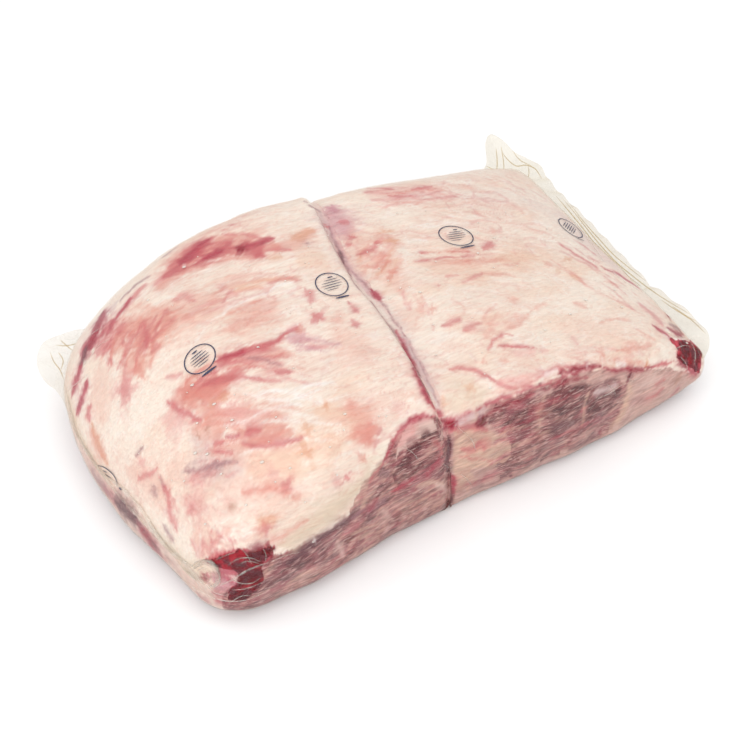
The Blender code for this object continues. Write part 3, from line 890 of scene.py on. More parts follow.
# Fields of cut muscle and tissue on the near walls and the left end: shade, strength, outline
WALL_FIELDS = """
muscle 1: 275,555 288,551 304,544 322,536 340,524 350,513 356,497 362,483 372,472 381,460 387,448 394,436
 409,425 431,416 442,420 450,440 456,530 280,650 225,650 222,596 252,566
pad .95: 396,450 403,430 412,424 431,418 437,428 425,437 412,445 404,452 394,462
muscle_dark .75: 390,470 397,455 413,443 425,437 440,431 447,446 444,462 430,470 410,478 396,484
muscle_grey .75: 275,562 300,552 322,542 338,534 336,556 318,572 290,590 262,604 262,580
membrane 1: 439,421 462,420 477,412 495,402 520,394 542,384 561,376 585,371 617,370 645,369 669,368 697,375
 712,384 640,450 456,530 450,440
muscle .95: 484,420 498,405 519,396 542,386 565,379 592,378 614,381 628,385 629,400 624,412 612,428 590,440
 560,454 530,466 500,480 496,466 512,450 508,436
muscle_dark .45: 498,410 520,400 540,390 560,386 600,384 622,386 622,402 604,420 575,432 548,440 520,446
 512,430
septum .85: 455,430 470,427 492,431 507,438 512,450 505,462 490,467 470,470 478,480 468,492 456,492 453,466
deep_rose .85: 204,560 222,552 238,547 252,551 262,548 275,545 273,557 266,565 250,569 236,575 224,572
 214,565
crimson .7: 228,592 236,581 250,572 263,567 263,580 254,592 244,601 230,600
membrane .34: 66,400 80,440 104,478 130,498 160,542 196,572 222,590 226,612 196,610 120,540 60,440
"""
# Its white spot is a painted glint of an air bubble in the film over the wall.
LEFT_WALL = """
dark_mauve .85 8: 286,566 299,557 307,549 319,540 330,533
dark_mauve .8 8: 326,536 336,528 347,521 354,514
mauve .8 7: 350,518 362,512 374,506 388,498
muscle_dark .6 6: 280,574 294,566 306,556
white .75 4: 313,542 316,540
muscle_dark .9 8: 408,452 414,448 420,444
muscle_dark .8 6: 396,470 404,462 411,458
muscle_dark .8 5: 422,438 427,434 432,436
muscle_grey .8 7: 379,474 384,472 390,476
dark_mauve .8 2.5: 378,471 384,468 388,471
muscle_rose .85 12: 413,481 425,475 436,467 443,460
deep_rose .6 5: 426,477 431,471 436,465 440,456
deep_rose .65 5: 392,494 400,487 407,483 414,478
septum .75 5: 416,487 424,484 436,482 444,484
septum .6 5: 364,492 368,498 362,508
muscle_pale .8 9: 364,500 372,492 378,484
muscle_dark .5 3: 366,506 372,498 378,490 384,482
deep_rose .45 4: 378,497 371,508 363,514
membrane .75 9: 382,508 386,516 392,520
muscle_rose .6 8: 343,534 352,528 360,522
pad .7 6: 337,540 341,550 344,556
septum .7 3: 348,536 364,529 382,523
septum .6 2.4: 346,542 362,536 380,530
septum .6 2.4: 392,515 404,506 418,498 430,490
septum .65 3: 400,512 414,504 430,496 442,486
septum .6 3: 418,510 432,501 444,492
muscle_pale .6 9: 400,520 420,508 440,498
septum .55 2.4: 356,556 372,546 386,532
pad .6 3: 382,536 388,528 396,522
membrane .7 6: 298,572 303,578 299,584
muscle_pale .5 10: 262,598 282,590 304,580 326,568
muscle_rose .5 5: 268,592 280,586 292,578
septum .45 2.4: 286,584 300,576 312,570
rose .5 3: 432,440 440,446 442,456
pad .7 8: 440,430 446,434
dark_mauve .85 4: 450,434 450,444 448,455 447,465 451,475
deep_rose .85 4: 451,474 453,484 453,492
pad .7 5: 436,482 446,490 448,500
deep_rose .8 6: 444,422 449,425 456,428
"""
LEFT_CORNER = """
rose .6 6: 204,562 216,556 230,552 244,551
crimson .9 10: 249,558 256,556 264,556
crimson .85 8: 266,552 273,549
dark_mauve .8 6: 250,580 256,574 262,570
pink .6 1.6: 222,560 234,563 246,556
pink .55 1.6: 232,552 236,562 233,572
pink .4 1.4: 240,596 250,590 256,580
crimson .75 6: 232,568 238,566 246,567
crimson .9 9: 238,584 246,579 254,576
crimson .85 6: 231,597 238,598 247,595
crimson .7 4: 252,586 260,580
muscle_rose .6 7: 212,590 220,594 230,588
muscle_rose .75 9: 202,573 206,580
lilac_rose .8 15: 214,576 224,580 233,584
deep_rose .55 4: 218,572 227,577 233,586
deep_rose .5 5: 214,600 224,604 236,605
pink .6 3: 224,566 236,560 248,561
pink .5 2.4: 236,590 248,586 258,584
mauve .6 12: 90,470 99,482 108,492
muscle_rose .6 13: 104,488 113,499 122,509
dark_mauve .9 17: 116,503 126,512 137,524
dark_mauve .8 5: 134,513 138,522 141,531
muscle_rose .9 18: 140,525 149,539 161,555
crimson_rose .5 9: 141,528 148,539 156,550
dark_mauve .5 3: 148,536 155,546 163,556
septum .7 2.4: 139,517 146,527 154,539
muscle_pale .6 6: 164,554 174,566 184,578
rose .4 4: 158,556 168,562
muscle_rose .45 6: 182,580 196,594 210,602
"""
# Its short white mark is a painted glint of the film on the wall.
RIGHT_WALL = """
crimson_rose .9 4: 441,421 449,424 458,423
lilac .8 6: 456,424 464,421 474,415
crimson .85 7: 476,425 482,423 487,417
mauve .8 6: 478,417 482,414
lilac .6 4: 470,417 480,411 488,407
deep_rose .6 3: 438,420 452,419 466,415 478,409
deep_rose .65 2.6: 478,409 490,402 505,398 518,393
deep_rose .65 2.6: 518,393 530,388 542,385 554,381
deep_rose .6 2.6: 554,381 565,377 579,371 590,369
rose .6 5: 455,430 465,427 478,428 488,430
rose .55 4: 461,448 471,451 481,446 487,451
rose .35 6: 476,448 484,442 490,448
rose .6 2.6: 457,456 473,458 494,461
muscle_rose .65 5: 464,486 478,481 494,473 510,467
muscle_grey .55 5: 470,490 490,484 512,474
muscle_grey .55 4: 498,468 513,466 528,461
muscle_dark .7 6: 562,392 574,390 588,386
muscle_dark .75 7: 552,410 566,410 580,406
muscle_dark .75 6: 516,426 526,425 536,422
dark_mauve .6 6: 550,428 562,426 576,424
muscle_dark .75 6: 600,396 612,394 622,389
muscle_dark .7 6: 594,412 604,406 614,402
muscle_rose .6 6: 504,414 516,408 528,404
muscle_rose .6 6: 584,424 598,420 610,414
deep_rose .8 4: 580,413 586,408
muscle_grey .7 7: 597,416 604,413
septum .6 4: 546,392 542,404 539,418 539,432
septum .6 4: 590,391 585,400 584,412 582,428
septum .85 7: 630,383 628,395 625,405 620,416 611,427
pad .6 6: 530,397 542,392 556,387
membrane .75 7: 568,383 590,380 612,379
lilac .75 8: 594,394 606,389 618,384
muscle_dark .55 3: 604,382 612,380 620,380
crimson .9 7: 627,375 632,376
rose .5 4: 654,386 658,382 666,379
rose .5 4: 644,400 654,396 664,388
deep_rose .55 3: 679,388 673,394 666,400
brown_mark .3 8: 674,380 682,378
pad .6 7: 640,388 650,382 662,376
dark_mauve .55 5: 568,450 584,443 600,434
white .35 4: 590,434 600,430
crimson_rose .55 4: 484,418 500,407 518,400 536,393
crimson_rose .5 3.4: 540,390 556,385 572,379 588,376
crimson_rose .45 4: 496,436 512,428 530,420 546,414
deep_rose .4 5: 528,412 546,404 564,398 580,396
deep_rose .35 5: 548,440 566,434 584,426 600,416
muscle_rose .75 4: 492,444 502,440 514,438
muscle_rose .7 4: 488,466 500,458 512,452
septum .65 2.6: 494,438 510,430 528,426 544,418
septum .65 2.6: 496,452 514,445 532,438 550,430
septum .55 2.4: 492,464 510,457 528,450 546,442
deep_rose .45 3: 470,484 486,480 500,474
mauve .55 3: 480,492 500,484 530,470 556,458
"""

# Fans of fine fibres: shades, strength, width, how many, then the first route and the last one
FANS = """
salmon/rose/haze .4 3 34: 100,374 106,350 118,330 134,310 142,380 152,352 168,326 192,300
rose/salmon/haze .34 2.6 20: 160,280 184,254 214,236 256,230 176,282 208,266 242,258 282,252
warm/haze/pink .4 3.2 16: 196,292 224,278 262,270 304,266 172,340 206,318 248,306 300,300
rose/pink/salmon .44 2.2 24: 178,378 216,357 262,342 304,324 190,400 232,380 275,376 322,388
pink/lilac_rose .4 2.4 10: 284,336 306,334 336,340 284,346 308,350 342,356
salmon/pink/haze .44 2.6 34: 174,404 202,397 242,394 302,390 192,456 222,446 264,448 316,438
ivory/white .45 2.2 22: 214,392 250,388 300,386 352,384 222,464 262,456 310,452 350,446
mauve/pink/rose .34 2 14: 178,470 204,455 236,447 188,494 216,482 246,470
pink/rose/mauve .34 2.4 12: 150,466 158,482 166,500 164,470 172,492 180,520
haze/rose .36 2 12: 196,534 206,548 214,560 236,524 234,538 230,550
rose/pink/salmon .32 1.8 18: 360,186 400,187 446,184 368,212 406,206 464,198
salmon/orange/pink .36 2.8 18: 350,262 366,247 384,230 372,300 390,276 404,246
salmon/haze/rose .32 2 16: 410,252 450,249 494,244 418,272 458,266 528,264
salmon/haze/pink .2 2.4 16: 432,332 460,312 492,298 470,352 502,334 536,306
pink/rose/salmon .36 2.2 18: 556,236 592,256 644,292 550,266 588,288 642,322
salmon/pink .24 2 9: 556,350 600,342 652,336 566,364 612,358 656,356
haze/pink .34 2.4 10: 400,286 408,304 412,324 428,290 432,310 434,332
ivory/white .45 2.2 14: 404,216 440,214 500,218 406,248 444,242 486,232
"""
FAN_SPREAD = 1.6
FAN_SWAY = 0.10
FAN_WAVES = (3, 9)
FAN_STRENGTH = (0.5, 1.35)
FAN_WIDTH = (0.6, 1.5)
FAN_STATIONS = 60
FAN_LENGTH = (14, 44)
FAN_STEP = 3

PIXEL = 0.00068
HAZE_BOOST = 1.5
STROKE_BOOST = 1.15
STROKE_SPREAD = 0.68
STROKE_REACH = 2.6
STROKE_TIP = 0.30
STROKE_MOST = 0.95
STROKE_WANDER = ((0.0010, 0.0062), (0.0006, 0.0024))
HALO = 0.26
HALO_SPREAD = 1.7
RAGGED = 0.70
RAGGED_LOSS = 0.30
FIELD_WANDER, FIELD_WANDER_SIZE = 2.2, 0.004
PARTING_PINK = 0.25
HIDDEN_FADE = 0.08
RAGGED_GRAIN = ((0.50, (0.0120, 0.0028, 0.0028)), (0.45, (0.0066, 0.0015, 0.0015)),
                (0.30, (0.0030, 0.0011, 0.0011)))
PAINT_ORDER = (LEFT_FAR_RIM, LEFT_END, LEFT_CAP_BANDS, WHITE_TISSUE, LEFT_NEAR_EDGE, LEFT_CORNER, LEFT_WALL,
               RIGHT_CAP, RIGHT_END, RIGHT_WALL, RIGHT_NEAR_EDGE, CREASE)

skin_parts = [butts["left"]["points"], butts["right"]["points"], tissue_points]
skin_starts = np.cumsum([0] + [len(part) for part in skin_parts])
skin_points = np.concatenate(skin_parts)
part_faces = [butts["left"]["faces"], butts["right"]["faces"], tissue_faces]
skin_faces = np.concatenate([faces + start for faces, start in zip(part_faces, skin_starts)])
skin_normals = point_normals(skin_points, skin_faces)
skin_tree = BVHTree.FromPolygons(skin_points.tolist(), skin_faces.tolist())


def turned_to_camera(points, normals):
    """How squarely each point faces the camera: its normal times the way to the camera, below 0 if hidden."""
    return np.einsum("ij,ij->i", normals, CAMERA_PLACE - points)


def land(pixels, tree):
    """Where the sight lines through pixels first meet a surface: the points, and the normals there."""
    hits = [tree.ray_cast(CAMERA_PLACE, line) for line in sight_lines(pixels)]
    met = [(hit[0], hit[1]) for hit in hits if hit[0] is not None]
    return np.array([place for place, _ in met]), np.array([normal for _, normal in met])


def smooth_route(route, step=1.5):
    """Pixels every step or so along a smooth curve through the route's own pixels."""
    route = np.array(route, dtype=float)
    if len(route) == 1:
        return route
    stretch = np.concatenate([[0.0], np.cumsum(np.linalg.norm(np.diff(route, axis=0), axis=1))])
    at = np.linspace(0, stretch[-1], max(3, int(stretch[-1] / step)))
    return np.stack([along(np.column_stack([stretch, route[:, axis]]), at) for axis in range(2)], axis=1)


def brush(points, line, width, ragged):
    """How far a stroke covers each point, 0 to 1: a soft bell across, tapered ends and a faint halo.

    Where the stroke is neither full nor bare, the skin's ragged grain breaks it into fibres.
    """
    reach = STROKE_REACH * width
    close = np.flatnonzero(np.all((points > line.min(axis=0) - reach) &
                                  (points < line.max(axis=0) + reach), axis=1))
    if not len(close):
        return close, np.zeros(0)
    gap = np.linalg.norm(points[close][:, None, :] - line[None, :, :], axis=2)
    share = gap.argmin(axis=1) / max(len(line) - 1, 1)
    taper = np.sqrt(np.clip(4 * share * (1 - share), 0, 1)) if len(line) > 1 else 1.0
    across = gap.min(axis=1) / (STROKE_SPREAD * width * (STROKE_TIP + (1 - STROKE_TIP) * taper))
    cover = (1 - HALO) * np.exp(-across ** 2) + HALO * np.exp(-(across / HALO_SPREAD) ** 2)
    grain = ragged[close]
    cover = cover + RAGGED * grain * 4 * cover * (1 - cover) - RAGGED_LOSS * np.clip(grain, 0, 1) * cover
    return close, np.clip(cover, 0, 1)


def fan(shades, strength, width, count, routes, seed):
    """Strokes that share the space between two routes: each its own shade, start, end and strength.

    The routes come as one row, the first half for the first of them.
    """
    chance = np.random.default_rng(seed)
    at = np.linspace(0, 1, FAN_STATIONS)
    sides = []
    for half in (routes[:len(routes) // 2], routes[len(routes) // 2:]):
        way = smooth_route(half, 1.0)
        sides.append(np.stack([np.interp(at, np.linspace(0, 1, len(way)), way[:, axis])
                               for axis in range(2)], axis=1))
    first, last = sides
    for _ in range(int(count)):
        share = chance.uniform(0, 1)
        sway = FAN_SWAY * np.sin(chance.uniform(*FAN_WAVES) * at + chance.uniform(0, 6))
        share = np.clip(share + sway, -0.05, 1.05)[:, None]
        route = first + (last - first) * share + FAN_SPREAD * chance.normal(size=2)
        length = int(chance.uniform(*FAN_LENGTH))
        start = chance.integers(0, FAN_STATIONS - length)
        yield (chance.choice(shades.split("/")), strength * chance.uniform(*FAN_STRENGTH),
               width * chance.uniform(*FAN_WIDTH), route[start:start + length:FAN_STEP])


def within(pixels, outline):
    """Which pixels lie inside a closed outline, by counting the edges crossed on the way out."""
    outline = np.array(outline, dtype=float)
    inside = np.zeros(len(pixels), dtype=bool)
    for (x0, y0), (x1, y1) in zip(outline, np.roll(outline, -1, axis=0)):
        spans = (y0 > pixels[:, 1]) != (y1 > pixels[:, 1])
        crossing = x0 + (pixels[:, 1] - y0) * (x1 - x0) / (y1 - y0 if y1 != y0 else 1)
        inside ^= spans & (pixels[:, 0] < crossing)
    return inside


def seen_at(points):
    """The photograph's pixel at which each point lies."""
    offset = points - CAMERA_PLACE
    scale = LENS_MM / SENSOR_MM * IMAGE_SIDE / -(offset @ sight_back)
    return np.stack([IMAGE_SIDE / 2 + offset @ sight_right * scale,
                     IMAGE_SIDE / 2 - offset @ sight_up * scale], axis=1)


def lay_on(colour, lean, where, shade, cover):
    """Blends a shade over the colours, and its leanness over theirs."""
    (red, green, blue), leanness = SHADES[shade]
    colour[where] += (np.array((red, green, blue)) - colour[where]) * cover[:, None]
    lean[where] += (leanness - lean[where]) * cover


def turned(points, degrees, axes):
    """Points turned about the axis square to two given ones, so that drawn-out noise follows a grain."""
    c, s = math.cos(math.radians(degrees)), math.sin(math.radians(degrees))
    first, second = points[:, axes[0]].copy(), points[:, axes[1]].copy()
    points = points.copy()
    points[:, axes[0]], points[:, axes[1]] = c * first + s * second, c * second - s * first
    return points


def veins(points, size, thinness, seed):
    """Fine wandering lines, 0 to 1: where smooth noise passes through nothing."""
    return np.clip(1 - np.abs(clouds(points, size, seed)) / thinness, 0, 1)


# Grain in degrees, and how far and how widely it wanders
FAT_GRAIN = {"left": -12, "right": -32, "parting": 80}
FAT_WANDER = 0.0022
FAT_WANDER_SIZE = 0.013
MUSCLE_GRAIN = 14
MUSCLE_WANDER = 0.0018
MUSCLE_WANDER_SIZE = 0.009
SEAM_SIZE, SEAM_THINNESS, SEAM_STRENGTH = (0.017, 0.0050, 0.0050), 0.13, 0.60
# Fibres of cut muscle: shade, strength, size along and across the grain, and seed
MUSCLE_FIBRES = (("muscle_dark", 0.80, (0.014, 0.0030, 0.0030), 51),
                 ("muscle_rose", 0.60, (0.018, 0.0050, 0.0050), 52),
                 ("muscle_pale", 0.80, (0.012, 0.0022, 0.0022), 53))


def puffs(points, size, seed, base=0.0, gain=1.0):
    """Soft clouds from 0 to 1: a base plus a gain times smooth noise."""
    return np.clip(base + gain * clouds(points, size, seed), 0, 1)


def paint_fat(colour, lean, points, side):
    """The fat cap's own unevenness: warm and pale clouds, pink fibres along the grain, fine veins.

    Each layer is a shade and its strength times noise of its own size and seed.
    """
    grained = turned(points, FAT_GRAIN[side], (0, 1))
    grained += FAT_WANDER * astray(points, FAT_WANDER_SIZE, 25, 26, 27)
    patches = puffs(points, (0.060, 0.030, 0.040), 28, 0.35, 0.9)
    for shade, cover in (
            ("ivory", 0.60 * puffs(points, 0.034, 21, 0.6, 0.9)),
            ("haze", 0.28 * puffs(grained, (0.036, 0.0065, 0.0065), 22, 0.15) * patches),
            ("warm", 0.22 * puffs(points, (0.030, 0.014, 0.014), 29)),
            ("salmon", 0.24 * puffs(grained, (0.017, 0.0024, 0.0024), 33) * patches),
            ("rose", 0.26 * veins(grained, (0.020, 0.0050, 0.0050), 0.10, 34) * patches),
            ("white", 0.35 * veins(grained, (0.015, 0.0036, 0.0036), 0.12, 35))):
        lay_on(colour, lean, slice(None), shade, cover)


def paint_muscle(colour, lean, points, cut):
    """The grain of cut muscle: dark and rosy fibres, pale seams between their bundles."""
    grained = turned(points, MUSCLE_GRAIN, (0, 2))
    grained += MUSCLE_WANDER * astray(points, MUSCLE_WANDER_SIZE, 45, 46, 47)
    amount = cut * lean
    for shade, strength, size, seed in MUSCLE_FIBRES:
        lay_on(colour, lean, slice(None), shade, strength * puffs(grained, size, seed, -0.1, 1.6) * amount)
    seams = veins(grained, SEAM_SIZE, SEAM_THINNESS, 54) * puffs(points, 0.02, 55, 0.5)
    lay_on(colour, lean, slice(None), "septum", SEAM_STRENGTH * seams * amount)


# The far wall, the ends and the underside: lean shows low on the walls and over most of the base
LEAN_RIM = 0.024
LEAN_RIM_WANDER = 0.016
LEAN_RIM_EDGE = 0.0016
LEAN_STRENGTH = 0.92
LEAN_DARKNESS = 0.55
RIM_LINE_WIDTH, RIM_LINE_STRENGTH = 0.0014, 0.75
BARE_BASE = -0.45
BASE_HEIGHT = 0.002
BASE_CALM = 0.75
HIDDEN_STREAKS = 150
HIDDEN_STATIONS = 14
HIDDEN_LENGTH = (0.010, 0.042)
HIDDEN_WIDTH = (0.0015, 0.0100)
HIDDEN_STRENGTH = (0.4, 0.85)
HIDDEN_BEND = 25
HIDDEN_FROM_HEIGHT = 0.02
HIDDEN_SLANT = 0.5
LEVEL_FACE = 0.8
# Streaks run square to these directions: on the walls, and on level faces
HIDDEN_GRAIN = {"wall": (0.15, 0.1, 1.0), "level": (0.2, 1.0, 0.0)}
HIDDEN_SHADES = ("salmon", "rose", "salmon", "deep_rose", "pink", "warm", "haze", "rose", "mauve")


def paint_hidden(colour, lean, points, normals, hidden, ragged):
    """What the photograph doesn't show: a lean lower band with a deep rose line along its top, and streaks on
    the fat.
    """
    edge = LEAN_RIM + LEAN_RIM_WANDER * (clouds(points, 0.050, 81) + 0.5 * clouds(points, 0.014, 82))
    low = np.clip((edge - points[:, 2]) / LEAN_RIM_EDGE, 0, 1) * hidden
    base = np.maximum(np.clip(-normals[:, 2] * 2, 0, 1), points[:, 2] < BASE_HEIGHT) * hidden
    low = np.maximum(low, base * (clouds(points, 0.040, 83) > BARE_BASE))
    lay_on(colour, lean, slice(None), "muscle", LEAN_STRENGTH * low)
    lay_on(colour, lean, slice(None), "muscle_dark", LEAN_DARKNESS * low * puffs(points, 0.030, 84, 0, 1.5))
    rim = np.exp(-((points[:, 2] - edge) / RIM_LINE_WIDTH) ** 2) * hidden * (normals[:, 2] > -0.5)
    lay_on(colour, lean, slice(None), "deep_rose", RIM_LINE_STRENGTH * rim)
    chance = np.random.default_rng(85)
    starts = chance.choice(np.flatnonzero(hidden & (points[:, 2] > HIDDEN_FROM_HEIGHT)), HIDDEN_STREAKS)
    for start, shade in zip(starts, chance.choice(HIDDEN_SHADES, HIDDEN_STREAKS)):
        normal = normals[start]
        grain = np.cross(normal, HIDDEN_GRAIN["wall" if abs(normal[2]) < LEVEL_FACE else "level"])
        grain = grain + np.cross(normal, grain) * chance.uniform(-HIDDEN_SLANT, HIDDEN_SLANT)
        span = np.linspace(-0.5, 0.5, HIDDEN_STATIONS)[:, None] * chance.uniform(*HIDDEN_LENGTH)
        bend = np.cross(normal, grain) * span ** 2 * chance.uniform(-HIDDEN_BEND, HIDDEN_BEND)
        run = [skin_tree.find_nearest(place.tolist())[0] for place in points[start] + grain * span + bend]
        where, cover = brush(points, np.array(run), chance.uniform(*HIDDEN_WIDTH), ragged)
        strength = chance.uniform(*HIDDEN_STRENGTH) * hidden[where] * (lean[where] < 0.4)
        lay_on(colour, lean, where, shade, strength * cover)


def paint_cap(points, normals, sides):
    """Colours and leanness over the whole skin: fat, fields of muscle, then every stroke."""
    colour = np.tile(np.array(SHADES["cream"][0], dtype=float), (len(points), 1))
    lean, ragged = np.zeros(len(points)), np.zeros(len(points))
    for side in ("left", "right", "parting"):
        own = np.flatnonzero(sides == side)
        fat, bare = colour[own], lean[own]
        paint_fat(fat, bare, points[own], side)
        if side == "parting":
            lay_on(fat, bare, slice(None), "pink", np.full(len(own), PARTING_PINK))
        colour[own], lean[own] = fat, bare
        grained = turned(points[own], FAT_GRAIN[side], (0, 1))
        for share, size in RAGGED_GRAIN:
            ragged[own] += share * clouds(grained, size, 61)
    seen = seen_at(points) + FIELD_WANDER * astray(points, FIELD_WANDER_SIZE, 23, 24)
    facing = turned_to_camera(points, normals)
    for shade, strength, outline in traced(WALL_FIELDS):
        inside = np.flatnonzero(within(seen, outline) & (facing > 0))
        lay_on(colour, lean, inside, shade, np.full(len(inside), strength))
    flat_base = points[:, 2] < BASE_HEIGHT
    hidden = ((np.clip(facing / HIDDEN_FADE + 0.5, 0, 1) < 0.5) | flat_base) & (sides != "parting")
    paint_hidden(colour, lean, points, normals, hidden, ragged)
    paint_muscle(colour, lean, points, 1 - BASE_CALM * flat_base)
    wandering = points.copy()
    for rise, size in STROKE_WANDER:
        wandering += rise * astray(points, size, 71, 72, 73)
    fans = [stroke for seed, guide in enumerate(traced(FANS)) for stroke in fan(*guide, seed)]
    painting = [(HAZE_BOOST, traced(CAP_HAZE)), (STROKE_BOOST, fans)]
    painting += [(STROKE_BOOST, traced(group)) for group in PAINT_ORDER]
    for boost, group in painting:
        for shade, strength, width, route in group:
            line, _ = land(smooth_route(route), skin_tree)
            if len(line):
                where, cover = brush(wandering, line, width * PIXEL, ragged)
                lay_on(colour, lean, where, shade, min(boost * strength, STROKE_MOST) * cover)
    return colour, lean


FILM_VEIL = 0.030
LIGHT_ON_MEAT = 1.30


def as_light(colour):
    """Colours from 0 to 255, as seen through the film, as the meat's own share of linear light.

    The screen's standard curve is undone, then the film's sheen is taken off as a veil, and what
    is left is divided by the studio's light.
    """
    share = np.asarray(colour, dtype=float) / 255
    linear = np.where(share <= 0.04045, share / 12.92, ((share + 0.055) / 1.055) ** 2.4)
    return np.clip((linear - FILM_VEIL) / LIGHT_ON_MEAT, 0.003, 0.95)


skin_sides = np.repeat(("left", "right", "parting"), np.diff(skin_starts))
skin_colour, skin_lean = paint_cap(skin_points, skin_normals, skin_sides)

# Three noises of the meat's grain: scale, detail, distortion and turn in degrees
FIBRE = ((90, 520, 520), 4.0, 0.6, (0, -14, -16))
THREAD = ((150, 900, 900), 3.0, 0.9, (0, -10, -12))
VESSEL = ((60, 210, 210), 6.0, 1.3, (0, 0, -22))
THREAD_COLOUR = (0.60, 0.41, 0.37, 1)
VESSEL_TINT = (0.93, 0.70, 0.68, 1)
# How strongly the grain shows on fat and on lean, and the shares of threads and of vessels
GRAIN_SHARE = (0.11, 0.85)
THREAD_SHARE = 0.62
VESSEL_SHARE, VESSEL_WIDTH = 0.50, 0.035


def meat_material(name):
    """Raw pork: the painted colours under a fine grain, which is strongest where the meat is lean.

    Pale threads run through the lean meat. Faint vessels wander everywhere, on the lines where
    a noise passes through its middle value.
    """
    material, tree, shader = shader_of(name)
    painted = add_node(tree, "Attribute", "Color", {}, attribute_name="meat_colour")
    lean = add_node(tree, "Attribute", "Fac", {}, attribute_name="lean")
    fibre = noise(tree, *FIBRE)
    grained = mixed(tree, ranged(tree, lean, 0.0, 1.0, *GRAIN_SHARE), painted,
                    ranged(tree, fibre, 0.25, 0.75, 0.24, 1.80), "MULTIPLY")
    threads = ranged(tree, noise(tree, *THREAD), 0.52, 0.66, 0.0, THREAD_SHARE)
    streaked = mixed(tree, figured(tree, "MULTIPLY", threads, lean), grained, THREAD_COLOUR)
    off_middle = figured(tree, "ABSOLUTE", figured(tree, "SUBTRACT", noise(tree, *VESSEL), 0.5))
    vessels = ranged(tree, off_middle, 0.0, VESSEL_WIDTH, VESSEL_SHARE, 0.0)
    tree.links.new(mixed(tree, vessels, streaked, VESSEL_TINT, "MULTIPLY"), shader.inputs["Base Color"])
    bump = add_node(tree, "Bump", "Normal", {"Height": fibre, "Strength": 0.5, "Distance": 0.0004})
    tree.links.new(bump, shader.inputs["Normal"])
    shader.inputs["Roughness"].default_value = 0.42
    shader.inputs["Specular IOR Level"].default_value = 0.35
    return material


def add_meat(name, part, faces, *caps):
    """A piece of meat from its part of the painted skin, with colour and leanness on its points."""
    piece = new_mesh(name, skin_parts[part], faces, *caps)
    own = slice(skin_starts[part], skin_starts[part + 1])
    colour = piece.data.attributes.new("meat_colour", "FLOAT_COLOR", "POINT")
    light = np.column_stack([as_light(skin_colour[own]), np.ones(own.stop - own.start)])
    colour.data.foreach_set("color", light.astype(np.float32).ravel())
    leanness = piece.data.attributes.new("lean", "FLOAT", "POINT")
    leanness.data.foreach_set("value", skin_lean[own].astype(np.float32))
    piece.data.materials.append(meat_material(f"raw_{name}"))
    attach(piece, "root")
    return piece


for part, side in enumerate(("left", "right")):
    butt = add_meat(f"butt_{side}_meat", part, butts[side]["faces"], butts[side]["cap"])
    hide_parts(f"pork_butt_{side}")


def thicken(sheet, name, thickness, offset):
    """Gives a sheet its thickness: inwards of it at an offset of -1, to both sides at 0."""
    depth = sheet.modifiers.new(name, "SOLIDIFY")
    depth.thickness = thickness
    depth.offset = offset


tissue = add_meat("parting_tissue", 2, tissue_faces)
thicken(tissue, "tissue_depth", TISSUE_THICKNESS, -1.0)


# ---------------------------------------------------------------------------------------------
# Juice. Dark red purge gathers under the film at two of the pack's corners. Each pool is a thin
# sheet that lies on the meat it covers.

JUICE_GAP = 0.00030
JUICE_THICKNESS = 0.00018
JUICE_POOLS = """
left_corner: 203,561 222,553 238,547 252,551 262,548 274,546 272,556 264,566 263,580 254,592 244,601 229,600
 229,590 238,578 236,573 222,570
right_corner: 668,338 676,341 690,340 700,339 702,352 699,374 690,369 681,364 675,357 676,349 671,343
"""
JUICE_EDGE_WANDER, JUICE_EDGE_SIZE = 2.5, 0.005
JUICE_RED = (0.13, 0.008, 0.022, 1)
JUICE_TINT = (0.92, 0.58, 0.65, 1)
JUICE_CLOTS = (240.0, 3.0)
MOST_RED = 0.45

skin_pixels = seen_at(skin_points) + JUICE_EDGE_WANDER * astray(skin_points, JUICE_EDGE_SIZE, 31, 32)
skin_faces_camera = turned_to_camera(skin_points, skin_normals) > 0

for place, outline in traced(JUICE_POOLS):
    wet = within(skin_pixels, outline) & skin_faces_camera
    pool_faces = skin_faces[wet[skin_faces].all(axis=1)]
    used, pool_faces = np.unique(pool_faces, return_inverse=True)
    pool_points = skin_points[used] + skin_normals[used] * JUICE_GAP
    pool = new_mesh(f"juice_{place}", pool_points, pool_faces.reshape(-1, 4))
    thicken(pool, "juice_depth", JUICE_THICKNESS, -1.0)
    red, tree, shader = shader_of(f"purge_{place}")
    shader.inputs["Base Color"].default_value = JUICE_RED
    shader.inputs["Roughness"].default_value = 0.25
    tint = add_node(tree, "BsdfTransparent", "BSDF", {"Color": JUICE_TINT})
    pooled = ranged(tree, noise(tree, *JUICE_CLOTS), 0.42, 0.66, 0.0, MOST_RED)
    tree.links.new(layered(tree, pooled, tint, shader.outputs["BSDF"]),
                   tree.nodes["Material Output"].inputs["Surface"])
    pool.data.materials.append(red)
    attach(pool, "root")


# ---------------------------------------------------------------------------------------------
# Bag. One skin of clear shrink film, drawn tight over both butts by the vacuum. It bridges the
# parting in a shallow dip, turns under the rim and closes under the pack.

FILM_GAP = 0.0006
FILM_LEAST_HEIGHT = 0.0002
FILM_SPANS = (172, 214)
BRIDGE_START = 0.0062
BRIDGE_DIP = 0.0018
BRIDGE_ROWS = 7
FILM_BASE_RINGS = (0.97, 0.88, 0.70, 0.40)
FILM_WAVE_SIZE = (0.020, 0.006, 0.006)
FILM_WAVE_HEIGHT = 0.00022
FILM_CALM_HEIGHT = 0.01


